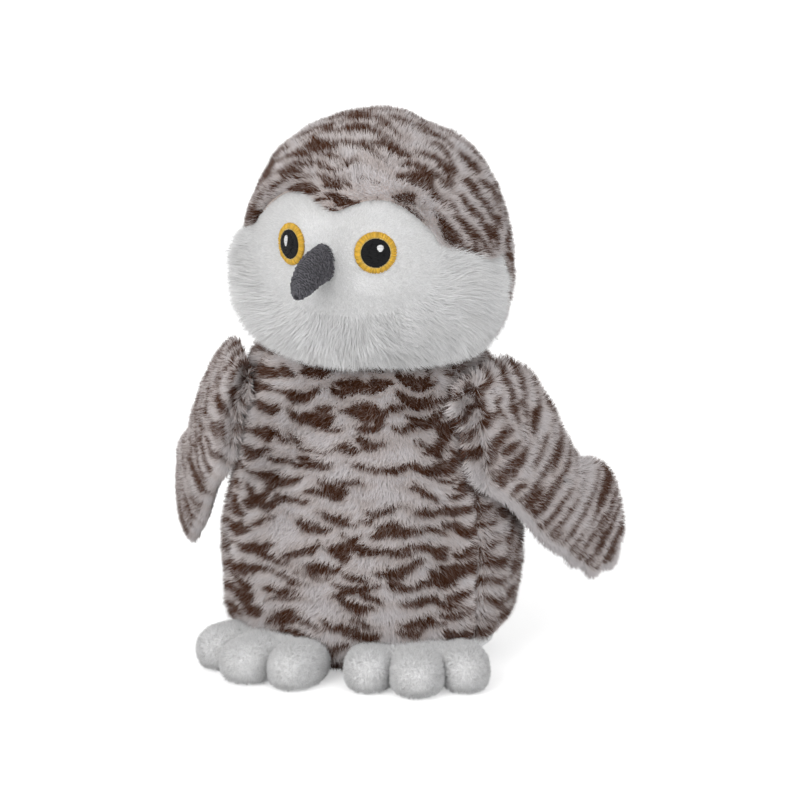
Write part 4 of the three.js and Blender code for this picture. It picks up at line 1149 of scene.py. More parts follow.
class OWL_OT_head(bpy.types.Operator):
    """Covers the head: striped hood, white ruff and white face"""

    bl_idname = "owl.head"
    bl_label = "Head"

    def execute(self, context):
        whole, pile = head_sheet(), context.scene.owl_pile
        self.hood(whole, pile)
        self.ruff(whole, pile)
        self.face(pile)
        return {"FINISHED"}

    def hood(self, whole, pile):
        """The striped covers in front of the hood's seam and behind it."""
        open_face = np.minimum(-whole.marks["face"], -whole.marks["ruff"])
        for name, side, density, seed in (("hood_front", -1, 3.6, 21), ("hood_back", 1, 2.4, 22)):
            part = head_part(whole, np.minimum(open_face, side * whole.marks["seam"]) - SEAM_GAP)
            own, facing = part.marks["own"], part.marks["facing"]
            if name == "hood_back":
                turn = np.arctan2(own[:, 0], own[:, 1] + 1e-6)
                part.marks["weave"] = np.stack([turn * HOOD_WEAVE, own[:, 2], np.full(len(own), 15.0)], -1)
            middle = head_to_world(np.array([[0.0, -HEAD_DEPTH / 2 - 10, NECK_HEIGHT + 20]]))
            behind = smoothstep(own[:, 1], -5, 32)[:, None]
            away = level_along(facing, part.points - middle)
            brow = 1 - smoothstep(-part.marks["face"], 0, 9)[:, None]
            away = level_along(facing, away * (1 - behind) + [0, 0, -1] * behind) * (1 - 2.3 * brow)
            part.marks["nap"] = away + 0.5 * swirl(own, 26, 51)
            part.marks["pile"] = 0.87 + 0.12 * ripple(own, 14, 55) - 0.36 * seam_dip(part.marks["seam"], 1, 3)
            padded_cover(f"{name}_cover", part, 1.2, "striped_plush", [name])
            pile_piece(
                f"{name}_pile", part, "striped_plush", kind="striped pile", density=density,
                length=pile.striped_length, seed=seed, lean=0.2, tuft_lean=1.0, stray=0.3,
            )

    def ruff(self, whole, pile):
        """The long white crescent under and beside the face."""
        part = head_part(whole, np.minimum(whole.marks["ruff"], -whole.marks["face"]) - SEAM_GAP)
        own, facing = part.marks["own"], part.marks["facing"]
        middle = head_to_world(np.array([[0.0, -HEAD_DEPTH / 2, NECK_HEIGHT + 44]]))
        away = level_along(facing, part.points - middle)
        part.marks["nap"] = level_along(facing, away + 0.35 * swirl(own, 20, 61))
        cheek = smoothstep(np.abs(own[:, 0]), 24, 42)
        gone = smoothstep(-part.marks["face"] * (1 + 0.9 * cheek), -2, 15)
        rim = smoothstep(part.marks["ruff"], 0, 10)
        hang = smoothstep(own[:, 2], NECK_HEIGHT - 2, NECK_HEIGHT + 17)
        part.marks["pile"] = (0.22 + 0.78 * gone) * (0.75 + 0.25 * rim) * (0.58 + 0.42 * hang)
        part.marks["pile"] *= 0.42 + 0.58 * smoothstep(RUFF_BACK - own[:, 1], 0, 16)
        part.marks["weave"] = part.points
        padded_cover("ruff_cover", part, 1.2, "white_long_plush", ["ruff"])
        pile_piece(
            "ruff_pile", part, "white_long_plush", kind="ruff pile", density=5.2, length=pile.ruff_length,
            seed=31, lean=0.95, tuft_lean=1.6, stray=0.35, width=0.95, relief=0.75,
        )

    def face(self, pile):
        """The short white panel, dented where the eyes sit."""
        outline, rings = face_outline(220), 44
        centre = np.array([0, NECK_HEIGHT + EYE_HEIGHT])
        flat = np.concatenate(
            [centre[None]] + [centre + (outline - centre) * k / rings for k in range(1, rings + 1)]
        )
        share, offset = HEAD.share_at(flat[:, 1]), FACE_UNDER
        for _ in range(4):
            width, depth, _, out, up = HEAD.read(share)
            share = HEAD.share_at(flat[:, 1] - offset * up)
        across = np.clip(flat[:, 0] / (width + offset * out), -0.999, 0.999)
        points = np.column_stack([flat[:, 0], -(depth + offset * out) * np.sqrt(1 - across**2), flat[:, 1]])
        points[:, 1] -= 0.5 * ripple(points, 18, 71) * smoothstep(np.hypot(*(flat - centre).T), 0, 12)
        for side in (1, -1):
            place = eye_place(side)
            local = (points - place[:3, 3]) @ place[:3, :3]
            near = np.hypot(local[:, 0], local[:, 1])
            seat = -0.9 - near**2 / 110
            local[:, 2] += (seat - local[:, 2]) * (1 - smoothstep(near, 9.5, 19))
            points = local @ place[:3, :3].T + place[:3, 3]
        sheet = Sheet(points, disc_faces(rings, len(outline))).turned_out(np.tile([0, -1.0, 0], (len(points), 1)))
        own = sheet.points
        sheet.points = head_to_world(own)
        facing = sheet.normals()
        away = level_along(facing, head_to_world(own - [0, -60, NECK_HEIGHT + 48], False))
        eyes = np.minimum(
            *(np.linalg.norm(own - place[:3, 3], axis=1) for place in (eye_place(1), eye_place(-1)))
        )
        low, high = flat.min(0), flat.max(0)
        sheet.marks.update(
            facing=facing, nap=away, pile=0.8 + 0.5 * smoothstep(np.hypot(*(flat - centre).T), 20, 44),
            map=(flat - low) / (high - low), weave=sheet.points,
            cover=smoothstep(eyes, EYE_RING / 2 - 0.8, EYE_RING / 2 + 0.2),
        )
        padded_cover("face_cover", sheet, 0.8, "white_short_plush", ["face_panel"])
        pile_piece(
            "face_pile", sheet, "white_short_plush", kind="face pile", density=9.5,
            length=pile.short_length * 0.8, seed=37, lean=0.8, tuft_lean=0.7, stray=0.5, width=0.88,
        )


# Eyes and beak


def eye_place(side):
    """Turns an eye's own axes, with its face along +Z, into its place on the head."""
    share = HEAD.share_at(NECK_HEIGHT + EYE_HEIGHT)
    width, depth, _, out, _ = HEAD.read(share)
    front = -(depth + FACE_SUNK * out) * math.sqrt(1 - (EYE_SPACING / 2 / (width + FACE_SUNK * out)) ** 2)
    normal = np.array([
        math.sin(EYE_TURN) * math.cos(EYE_TILT), -math.cos(EYE_TURN) * math.cos(EYE_TILT), math.sin(EYE_TILT),
    ])
    across = np.array([math.cos(EYE_TURN), math.sin(EYE_TURN), 0])
    place = np.eye(4)
    place[:3, 0], place[:3, 1], place[:3, 2] = across, np.cross(normal, across), normal
    place[:3, 3] = [EYE_SPACING / 2, front, NECK_HEIGHT + EYE_HEIGHT]
    place[:3, 3] += across * (0.8 if side > 0 else -1.6)
    return place if side > 0 else np.diag([-1, 1, 1, 1]) @ place


def stitch_shape():
    """A flattened thread that arches from one end to the other, one unit long."""
    points, faces = [], []
    for k in range(6):
        t = k / 5
        arch = 4 * t * (1 - t)
        lift = 0.35 + 0.65 * math.sqrt(arch)
        wide = 0.5 if 0 < k < 5 else 0.38
        points += [(-wide, -0.8, t), (-wide * 0.7, lift * 0.8, t), (0, lift, t), (wide * 0.7, lift * 0.8, t),
                   (wide, -0.8, t)]
    for k in range(5):
        for i in range(5):
            a, b = k * 5 + i, k * 5 + (i + 1) % 5
            faces.append((a, a + 5, b + 5, b))
    faces += [(0, 1, 2, 3, 4), (29, 28, 27, 26, 25)]
    return template("stitch_shape", points, faces)


def lay_stitches(name, centres, runs, facings, sizes, shape, kind, width, height, unevenness, seed):
    """Repeats a stitch on given points; sizes are shares of width and height, and a length in metres."""
    marks = {"run": runs, "facing": facings, "size": sizes}
    ground = add_object("ground", marked_mesh("ground", centres, [], marks))
    mesh = run_tree(ground, laid_tree("Laid Stitches", stitch_tree), {
        "Stitch": shape, "Thread Width": width * MM, "Thread Height": height * MM, "Unevenness": unevenness,
        "Seed": seed, "Material": finish(kind),
    })
    mesh.name = name
    drop_marks(mesh, marks)
    return mesh


def merged_piece(name, meshes):
    """One object from several meshes, each keeping its material."""
    parts = [add_object(f"{name}_{k}", mesh) for k, mesh in enumerate(meshes)]
    with bpy.context.temp_override(
        active_object=parts[0], object=parts[0], selected_editable_objects=parts, selected_objects=parts
    ):
        bpy.ops.object.join()
    parts[0].name = parts[0].data.name = name
    return parts[0]


def round_patch(name, inner, outer, low, high, kind, place, around=64, drop=0.0):
    """A closed disc, or a ring where the inner radius isn't zero, that carries the stitches."""
    chamfer, side, shade = 0.3, 0.4, 0.4
    rings = [(outer, low), (outer, high - chamfer - drop), (outer - side, high - drop)]
    if inner:
        rings = [(inner, low), *rings, (inner + side, high), (inner, high - chamfer)]
    angle = np.linspace(0, 2 * math.pi, around, endpoint=False)
    points = np.concatenate([
        np.stack([r * np.cos(angle), r * np.sin(angle), np.full(around, z)], -1) for r, z in rings
    ])
    faces = (grid_faces(len(rings) + bool(inner), around, True) % len(points)).tolist()
    if not inner:
        faces += [list(range(around))[::-1], list(range(2 * around, 3 * around))]
    if np.linalg.det(place[:3, :3]) < 0:
        faces = [face[::-1] for face in faces]
    mesh = marked_mesh(name, points @ place[:3, :3].T + place[:3, 3], faces, {"shade": [shade] * len(points)})
    mesh.materials.append(finish(kind))
    return mesh


class OWL_OT_eyes(bpy.types.Operator):
    """Embroiders the eyes: golden ring, black pupil and white glint"""

    bl_idname = "owl.eyes"
    bl_label = "Eyes"

    def execute(self, context):
        for side, label in ((1, "left"), (-1, "right")):
            place = np.eye(4)
            own = eye_place(side)
            place[:3, :3] = head_to_world(own[:3, :3].T, False).T
            place[:3, 3] = head_to_world(own[:3, 3][None])[0]
            self.ring(label, place)
            self.pupil(label, place)
            self.glint(label, place, side)
        return {"FINISHED"}

    def to_place(self, place, flat, height):
        """Points of an eye's own plane, at a height over it, in the owl's coordinates."""
        local = np.column_stack([flat, np.broadcast_to(height, len(flat))])
        return local @ place[:3, :3].T + place[:3, 3]

    def ring(self, label, place):
        """Golden stitches that point away from the pupil, over a ring of paler ones that paint the highlight line
        between pupil and ring.
        """
        inner, outer = EYE_PUPIL / 2 + 0.1, EYE_RING / 2 - 0.5
        meshes = []
        for count, low, high, seed, level, kind in (
            (92, inner + 0.25, outer, 3, 0.1, "yellow thread"),
            (70, inner - 0.15, inner + 0.8, 5, 0.0, "pale thread"),
        ):
            angle = np.arange(count) * 2 * math.pi / count
            spoke = np.stack([np.cos(angle), np.sin(angle)], -1)
            start, end = self.to_place(place, spoke * low, level), self.to_place(place, spoke * high, -0.9)
            span = np.linalg.norm(end[0] - start[0])
            meshes.append(lay_stitches(
                f"{label}_{kind[:4]}", start, (end - start) / span, np.tile(place[:3, 2], (count, 1)),
                np.tile([1, 1, span * MM], (count, 1)), stitch_shape(), kind, 0.6, 0.62, 0.09, seed,
            ))
        meshes.append(round_patch(
            f"{label}_patch", inner, outer - 0.2, -3.0, 0.1, "yellow thread", place, drop=1.1
        ))
        self.hand_over(label, "ring", meshes, "yellow_thread")

    def hand_over(self, label, part, meshes, slot):
        settle(merged_piece(f"{label}_eye_stitched_{part}", meshes), [f"{label}_eye_{part}"])

    def rows(self, place, span, reach, level, pitch, split, seed):
        """Centres, runs, facings and sizes of level stitches inside an outline, given by its half width."""
        draw = np.random.default_rng(seed)
        starts, lengths = [], []
        for y in np.arange(-span + pitch / 2, span, pitch):
            half = reach(y)
            if half < 0.25:
                continue
            cuts = [-half]
            while cuts[-1] < half:
                step = cuts[-1] + split * draw.uniform(0.7, 1.2)
                cuts.append(step if half - step > split * 0.4 else half)
            starts += [(a - 0.15, y) for a in cuts[:-1]]
            lengths += [b - a + 0.3 for a, b in zip(cuts, cuts[1:])]
        starts, lengths, count = np.array(starts), np.array(lengths), len(starts)
        dome = level(starts + np.stack([lengths / 2, np.zeros(count)], -1))
        return (
            self.to_place(place, starts, dome), np.tile(place[:3, 0], (count, 1)),
            np.tile(place[:3, 2], (count, 1)), np.column_stack([np.ones((count, 2)), lengths * MM]),
        )

    def pupil(self, label, place):
        radius, kind = EYE_PUPIL / 2, "black thread"

        def reach(y):
            return math.sqrt(max(radius**2 - y**2, 0)) - 0.1

        def level(flat):
            return 0.12 + 0.45 * np.clip(1 - (np.hypot(*flat.T) / radius) ** 2, 0, 1)

        laid = self.rows(place, radius, reach, level, 0.4, 3.4, 9)
        stitches = lay_stitches(f"{label}_stitches", *laid, stitch_shape(), kind, 0.46, 0.3, 0.03, 13)
        base = round_patch(f"{label}_black", 0, radius - 0.1, -3.0, 0.1, kind, place)
        self.hand_over(label, "pupil", [stitches, base], "black_thread")

    def glint(self, label, place, side):
        """The white spot, which lies higher and rounder in the left eye."""
        across, up, wide, tall = (1.9, 2.1, 1.25, 1.4) if side > 0 else (1.6, 1.2, 0.9, 2.3)
        moved, kind = place.copy(), "white thread"
        moved[:3, 3] += place[:3, 0] * across + place[:3, 1] * up + place[:3, 2] * 0.75

        def reach(y):
            return wide * math.sqrt(max(1 - (y / tall) ** 2, 0)) * (1 + 0.3 * y / tall)

        def level(flat):
            return 0.05 + 0.25 * np.clip(1 - (np.hypot(*flat.T) / tall) ** 2, 0, 1)

        laid = self.rows(moved, tall, reach, level, 0.36, 4.0, 21)
        stitches = lay_stitches(f"{label}_glint", *laid, stitch_shape(), kind, 0.42, 0.3, 0.04, 23)
        base = round_patch(f"{label}_under", 0, 0.8, -0.35, 0.05, kind, moved, 24)
        self.hand_over(label, "glint", [stitches, base], "white_thread")


def loop_shape():
    """A small upright loop of yarn."""
    points, faces = [], []
    for k in range(6):
        t = math.pi * k / 5
        middle = np.array([0, math.sin(t) * 1.0 - 0.1, 0.5 - 0.5 * math.cos(t)])
        outward = np.array([0, math.sin(t), -math.cos(t) * 0.5])
        for i in range(4):
            turn = math.pi / 2 * i + math.pi / 4
            points.append(tuple(middle + outward * 0.28 * math.cos(turn) + np.array([0.5 * math.sin(turn), 0, 0])))
    for k in range(5):
        for i in range(4):
            a, b = k * 4 + i, k * 4 + (i + 1) % 4
            faces.append((a, b, b + 4, a + 4))
    faces += [(3, 2, 1, 0), (20, 21, 22, 23)]
    return template("loop_shape", points, faces)


def beak_ring(share, offset, around):
    """One ring of the beak in the head's coordinates, drawn in by an offset."""
    rooted, path_length, step, below_wider = 7, 36, 0.01, 0.22
    _, depth, _, out, _ = HEAD.read(HEAD.share_at(NECK_HEIGHT + BEAK_HEIGHT))
    root = -(depth + FACE_SUNK * out)
    path = spline(np.array([
        [0, root + f * (rooted if f > 0 else BEAK_LENGTH), NECK_HEIGHT + BEAK_ROOT_HEIGHT + d * BEAK_DROP]
        for f, d in BEAK_PATH_SHARES
    ]))
    reach = 1 - offset / path_length
    centre = along(path, [share * reach])[0]
    before = share * reach - step if share > step else 0
    ahead = along(path, [min(share * reach + step, 1)])[0] - along(path, [before])[0]
    ahead /= np.linalg.norm(ahead)
    up = np.array([0, ahead[2], -ahead[1]])
    taper = math.sqrt(max(1 - (share * 0.98) ** 4, 0))
    angle = np.linspace(0, 2 * math.pi, around, endpoint=False)
    wide = (BEAK_HALF_WIDTH - offset) * taper * (1 - below_wider * np.sin(angle)) * np.cos(angle)
    ring = centre + up * ((BEAK_HALF_HEIGHT - offset) * taper * np.sin(angle))[:, None]
    ring[:, 0] = wide + BEAK_ASIDE
    return ring


class OWL_OT_beak(bpy.types.Operator):
    """Makes the stuffed beak of grey looped cloth"""

    bl_idname = "owl.beak"
    bl_label = "Beak"

    def execute(self, context):
        around, rings = 72, 60
        shares = np.sin(np.linspace(0.12, 1, rings) * math.pi / 2)
        points = [beak_ring(s, 2.0, around) for s in shares]
        points = np.concatenate(points + [points[-1].mean(0)[None]])
        faces = [*grid_faces(rings, around, True), *cap_faces((rings - 1) * around, around)]
        place = np.column_stack([np.tile(np.arange(around) / around, rings), np.repeat(shares, around)])
        place = np.concatenate([place, [[0.5, 1]]])
        sheet = Sheet(points, faces, map=place)
        sheet.turned_out(sheet.points - [-2, -60, NECK_HEIGHT + 42])
        sheet = sheet.trimmed(HEAD.outside(sheet.points, BEAK_CUT))
        sheet.points = head_to_world(sheet.points)
        padded_cover("beak_padded_cover", sheet, 0.8, "grey_looped_plush", ["beak_cover"])
        self.filling()
        self.loops()
        return {"FINISHED"}

    def filling(self):
        around = 40
        shares = np.concatenate([[0.03], np.sin(np.linspace(0.2, 0.97, 14) * math.pi / 2)])
        rings = [beak_ring(s, 3.4, around) for s in shares]
        points = np.concatenate([rings[0].mean(0)[None]] + rings + [rings[-1].mean(0)[None]])
        faces = disc_faces(len(rings), around) + cap_faces(len(points) - 1 - around, around)
        sheet = Sheet(points, faces).turned_out(points - points.mean(0))
        mesh = marked_mesh("beak_filling", head_to_world(sheet.points), sheet.faces, {})
        mesh.materials.append(finish("stuffing fibre"))
        settle(add_object("beak_filling", mesh), ["beak_stuffing"])

    def loops(self):
        draw = np.random.default_rng(77)
        centres, runs, facings = [], [], []
        around = 144
        for k, share in enumerate(np.sin(np.linspace(0.1, 0.999, 36) * math.pi / 2)):
            ring = beak_ring(share, 2.0, around)
            outer = beak_ring(share, 1.0, around)
            length = np.linalg.norm(ring - np.roll(ring, 1, axis=0), axis=1).sum()
            count = max(int(length / 1.12), 4)
            picks = ((np.arange(count) + 0.5 * (k % 2) + draw.uniform(-0.2, 0.2, count)) * around / count)
            picks = picks.astype(int) % around
            nearby = unit(ring[(picks + 1) % around] - ring[picks - 1])
            facing = unit(outer[picks] - ring[picks])
            bulge = ring[picks] - ring.mean(0)
            facing = facing + 0.4 * bulge / np.maximum(np.linalg.norm(bulge, axis=1)[:, None], 1e-6)
            if share > 0.93:
                facing = facing + (beak_ring(1.0, 0.1, 8).mean(0) - beak_ring(0.9, 0.1, 8).mean(0)) * 0.8
            centres.append(ring[picks] - nearby * 0.55)
            runs.append(nearby)
            facings.append(unit(facing))
        centres, runs, facings = (np.concatenate(v) for v in (centres, runs, facings))
        clear = HEAD.outside(centres, BEAK_CUT) > 0.2
        centres, runs, facings = centres[clear], runs[clear], facings[clear]
        size = draw.uniform(0.85, 1.15, (len(centres), 1)) * [1, 1, 1.15 * MM]
        mesh = lay_stitches(
            "beak_loops", head_to_world(centres), head_to_world(runs, False), head_to_world(facings, False),
            size, loop_shape(), "grey loops", 0.62, 0.75, 0.6, 79,
        )
        settle(add_object("beak_loops", mesh))


# Feet


def foot_sheet(splay, inset):
    """The left foot, instep and three toes, as one smooth sheet drawn in by an inset."""
    around, lift, fan, fineness = 48, 19.5 / 2 - 1.2, math.radians(12), 0.95
    theta = np.linspace(0, math.pi, 25)[1:-1]
    phi = np.linspace(0, 2 * math.pi, around, endpoint=False)
    rows, shapes, faces = len(theta), [], []

    def turned(points, angle):
        c, s = math.cos(angle), math.sin(angle)
        return points @ np.array([[c, s, 0], [-s, c, 0], [0, 0, 1]])

    for width, length, spread, across, ahead in (
        (2 * TOE_WIDTH, 34, 0, 0, -9), (TOE_WIDTH, 37, 0, 0, 5), (21.6, 33.3, fan, TOE_SPREAD, 0),
        (21.6, 33.3, -fan, -TOE_SPREAD, 0),
    ):
        ring = np.stack([
            np.outer(np.sin(theta), np.cos(phi)), np.outer(np.sin(theta), np.sin(phi)),
            np.outer(np.cos(theta), np.ones(around)),
        ], -1).reshape(-1, 3)
        ball = np.concatenate([ring, [[0, 0, 1], [0, 0, -1]]])
        ball = np.sign(ball) * np.abs(ball) ** [0.86, 0.8, 0.72]
        ball = ball * [width / 2 - inset, length / 2 - inset, TOE_HEIGHT / 2 - inset]
        ball = turned(turned(ball, spread) + [across, -ahead, 0], splay) + [FOOT_ACROSS, FOOT_AHEAD, lift]
        start = len(shapes) * len(ball)
        faces += (np.roll(grid_faces(rows, around, True)[:, ::-1], 1, axis=1) + start).tolist()
        top = start + rows * around
        low = top - around
        for i in range(around):
            j = (i + 1) % around
            faces += [(top, start + i, start + j), (top + 1, low + j, low + i)]
        shapes.append(ball)
    mesh = bpy.data.meshes.new("foot")
    mesh.from_pydata(np.concatenate(shapes).tolist(), [], faces)
    foot = add_object("foot", mesh)
    remesh = foot.modifiers.new("join", "REMESH")
    remesh.mode, remesh.voxel_size, remesh.use_smooth_shade = "VOXEL", fineness, True
    soften = foot.modifiers.new("soften", "SMOOTH")
    soften.factor, soften.iterations = 0.5, 15
    graph = bpy.context.evaluated_depsgraph_get()
    made = bpy.data.meshes.new_from_object(foot.evaluated_get(graph), depsgraph=graph)
    points = np.zeros(len(made.vertices) * 3)
    made.vertices.foreach_get("co", points)
    points = points.reshape(-1, 3)
    quads = [tuple(face.vertices) for face in made.polygons]
    bpy.data.objects.remove(foot)
    for done in (mesh, made):
        bpy.data.meshes.remove(done)
    points[:, 2] = np.maximum(points[:, 2], FLOOR_GAP + 0.15 * (points[:, 2] - FLOOR_GAP))
    return Sheet(points, quads)


class OWL_OT_feet(bpy.types.Operator):
    """Makes the two stuffed feet of short white plush"""

    bl_idname = "owl.feet"
    bl_label = "Feet"

    def execute(self, context):
        pile = context.scene.owl_pile
        for side, splay, seed in (("left", 14, 81), ("right", 28, 83)):
            sheet = foot_sheet(math.radians(splay), 1.3)
            sheet = sheet.trimmed(BODY.outside(sheet.points, FOOT_CUT))
            if side == "right":
                sheet = sheet.mirrored()
            points = sheet.points
            facing = sheet.normals()
            low, high = points.min(0), points.max(0)
            under = facing[:, 2] < 0
            flat = (points - low)[:, :2] / (high - low)[:2]
            flat = flat * [0.48, 1] + np.where(under, 0.52, 0.0)[:, None] * [1, 0]
            toes = np.array([0.25 if side == "left" else -0.25, -1.0, -0.35])
            sheet.marks.update(
                facing=facing, nap=level_along(facing, np.tile(toes, (len(points), 1))),
                pile=np.ones(len(points)), weave=points, map=flat, cover=smoothstep(points[:, 2], 1.2, 3.0),
            )
            nodes = [f"{side}_foot_top", f"{side}_foot_sole"]
            padded_cover(f"{side}_foot_cover", sheet, 0.8, "white_short_plush", nodes, mapped=False)
            pile_piece(
                f"{side}_foot_pile", sheet, "white_short_plush", kind="foot pile", density=7.5,
                length=pile.short_length * 1.4, seed=seed, lean=0.3, tuft_lean=1.5, stray=0.8, width=1.4,
                tuft_size=0.4, relief=0.5,
            )
        return {"FINISHED"}


# Wings and tail


def seam_radius(height):
    """How far the body's side seam stands from the owl's axis at a height."""
    point = BODY.at(np.full(np.shape(height), SIDE_SEAM), BODY.share_at(height))
    return np.hypot(point[..., 0], point[..., 1])


SEAM_OUT = np.array([math.sin(SIDE_SEAM), -math.cos(SIDE_SEAM), 0])
WING_AWAY = np.array([math.cos(WING_SWEEP), math.sin(WING_SWEEP), 0])
WING_OUT = np.array([math.sin(WING_SWEEP), -math.cos(WING_SWEEP), 0])


def wing_place(flat, thickness):
    """Turns the wing's flat shares and a thickness into points on the owl's left."""
    reach, height = flat[:, 0] * WING_REACH, WING_TOP - flat[:, 1] * WING_HEIGHT
    middle = float(seam_radius(np.array([(WING_ROOT_TOP + WING_ROOT_BOTTOM) / 2]))[0])
    on_body = seam_radius(np.clip(height, WING_ROOT_BOTTOM, WING_ROOT_TOP)) - middle
    follows_body, belly, tip_cup, top_lean = 100, 1.5, 2.5, 4
    fade = 1 - np.clip(reach / follows_body, 0, 1)
    share = np.clip(flat[:, 0], 0, 1)
    bow = belly * np.sin(math.pi * share) - tip_cup * share**2
    lean = top_lean * smoothstep(height, WING_ROOT_BOTTOM, WING_TOP) * smoothstep(reach, 8, 45)
    out = on_body * fade + bow - lean + thickness
    points = SEAM_OUT * middle + reach[:, None] * WING_AWAY + out[:, None] * WING_OUT
    points[:, 2] = height
    return points


def lobed_outline(shares, count, centre, lobes, lobe_shares, depth, steps):
    """A closed smooth outline with round lobes along one stretch."""
    path = spline(shares, closed=True)
    start, end = lobe_shares
    plain = along(path, (end + (1 + start - end) * np.arange(count) / count) % 1)
    k = np.arange(lobes * steps)
    lobed = along(path, start + (end - start) * k / len(k))
    lobed = lobed + unit(lobed - centre) * (depth * (np.abs(np.sin(math.pi * k / steps)) - 0.5))[:, None]
    return np.concatenate([plain, lobed])


def flap_sheet(outline, centre, place, bulge, edge, inset, size, rings=30):
    """One face of a stuffed flap, swelling from its edge by a bulge that may be negative."""
    drawn = outline * size
    inset = np.broadcast_to(inset, len(outline))[:, None]
    drawn = (drawn - unit(drawn - centre * size) * inset) / size
    edge = np.concatenate([[0.0], np.tile(np.broadcast_to(edge, len(outline)), rings)])
    shares = np.sin(np.linspace(0, 1, rings + 1)[1:] * math.pi / 2)
    flat = np.concatenate([centre[None]] + [centre + (drawn - centre) * s for s in shares])
    share = np.concatenate([[0], np.repeat(shares, len(drawn))])
    sign = np.sign(bulge)
    thick = sign * (edge + (abs(bulge) - edge) * np.sqrt(np.clip(1 - share**3, 0, 1)))
    lumps = 0.5 * ripple(np.column_stack([flat * size, np.zeros(len(flat))]), 17, 91) * (1 - share**4)
    points = place(flat, thick + sign * lumps)
    return Sheet(points, disc_faces(rings, len(drawn)), flat=flat, rim=1 - share)


class OWL_OT_wings(bpy.types.Operator):
    """Makes the two wings: striped outer covers over white linings"""

    bl_idname = "owl.wings"
    bl_label = "Wings"

    def execute(self, context):
        outline = lobed_outline(WING_SHARES, 150, WING_CENTRE, 3, (0.5, 0.655), 4.6 / WING_REACH, 20)
        corner = (1 - smoothstep(outline[:, 1], 0.06, 0.26)) * (1 - smoothstep(outline[:, 0], 0.08, 0.3))
        outline = outline + corner[:, None] * [-0.085, 0.042]
        tip = smoothstep(outline[:, 1], 0.8, 1.0)[:, None] * [-0.01, -0.032]
        size = np.array([WING_REACH, WING_HEIGHT])
        middle, run = 108.0, 0.012
        base = float(seam_radius(np.array([middle]))[0])
        start = SEAM_OUT * (base - 2) * MM
        upper = (1 - smoothstep(outline[:, 1], 0.02, 0.3)) * (1 - smoothstep(outline[:, 0], 0.3, 0.6))
        for side, flip in (("left", 1), ("right", -1)):
            first = Vector((start[0] * flip, start[1], middle * MM))
            away = Vector((WING_AWAY[0] * flip, WING_AWAY[1], 0))
            bend = ("torso", f"{side}_wing", first, first + away * run)
            drawn = outline + tip * (side == "right")
            for part, bulge, edge, inset in (("outer", 4.0, -0.6, 0.9), ("lining", -3.2, 0.2, 1.9)):
                sheet = flap_sheet(drawn, WING_CENTRE, wing_place, bulge, edge, inset + 2.4 * upper, size)
                sheet = sheet.trimmed(BODY.outside(sheet.points, WING_CUT))
                sheet.turned_out(np.tile(WING_OUT * np.sign(bulge), (len(sheet.points), 1)))
                self.dress(side, part, sheet, size, bend, context.scene.owl_pile)
        return {"FINISHED"}

    def dress(self, side, part, sheet, size, bend, pile):
        """Combs a face of a wing from its root down and outwards, and covers it."""
        flat, facing = sheet.marks["flat"], sheet.normals()
        from_shoulder = (flat - [-0.2, 0.05]) * size
        radius = np.hypot(*from_shoulder.T)
        angle = np.arctan2(from_shoulder[:, 1], from_shoulder[:, 0])
        shift, white_rim = (0, 1.6) if side == "left" else (63, 0.7)
        down_and_out, splayed, lean_in = np.array([0, 0, -1]) + 0.9 * WING_AWAY, 2.2, 3.0
        outward = unit(sheet.points - wing_place(WING_CENTRE[None], np.zeros(1)), 1)
        lower = smoothstep(flat[:, 1] - 0.28 - 0.5 * flat[:, 0], 0.05, 0.2)
        rim = sheet.marks["rim"]
        free = np.maximum(smoothstep(flat[:, 0], 0.12, 0.3), 1 - smoothstep(flat[:, 1], 0.06, 0.14))
        splay = ((1 - smoothstep(rim, 0.02, 0.3)) * free)[:, None]
        root = (1 - smoothstep(flat[:, 0] * WING_REACH, 0.0, 8.0))[:, None]
        nap = down_and_out + splayed * splay * outward - lean_in * root * WING_AWAY
        nap = level_along(facing, nap + 0.4 * swirl(sheet.points, 24, 95)) * (1 + 1.3 * root)
        low, high = np.array([-0.05, -0.02]), np.array([1.02, 1.0])
        sheet.marks.update(
            facing=facing, nap=nap, map=(flat - low) / (high - low),
            weave=np.stack([angle * WING_WEAVE, radius, np.full(len(flat), 20.0 + shift)], -1),
            cover=np.ones(len(flat)),
            pile=0.95 - 0.3 * lower * (1 - smoothstep(rim, 0.0, 0.2)) + 0.3 * root[:, 0],
            bare=white_rim * lower * (1 - smoothstep(rim + 0.03 * ripple(sheet.points, 16, 99), 0.06, 0.15)),
        )
        if side == "right":
            sheet = sheet.mirrored()
        outer = part == "outer"
        slot = "striped_plush" if outer else "white_short_plush"
        padded_cover(
            f"{side}_wing_padded_{part}", sheet, 1.0 if outer else 0.7, slot, [f"{side}_wing_{part}"],
            bend=bend,
        )
        growth = dict(
            kind="striped pile", density=5.2, length=pile.striped_length * 0.9, seed=101, lean=0.4,
            tuft_lean=1.0, stray=0.3, width=0.95,
        ) if outer else dict(
            kind="foot pile", density=3.8, length=pile.short_length * 1.4, seed=103, lean=0.5,
            tuft_lean=1.3, stray=0.6, width=1.3, tuft_size=0.5, relief=0.9,
        )
        pile_piece(f"{side}_wing_{part}_pile", sheet, slot, bend, **growth)


def tail_hinge():
    """How far behind the owl's axis the tail's seam lies."""
    return BODY.at(math.pi, BODY.share_at(TAIL_HINGE))[1] - 1


def tail_place(flat, thickness):
    """Turns the tail's flat shares and a thickness into points."""
    run = flat[:, 1] * TAIL_LENGTH
    return np.column_stack([
        flat[:, 0] * TAIL_WIDTH / 2,
        tail_hinge() + run * math.cos(TAIL_DROOP) + thickness * math.sin(TAIL_DROOP),
        TAIL_HINGE - run * math.sin(TAIL_DROOP) + thickness * math.cos(TAIL_DROOP),
    ])


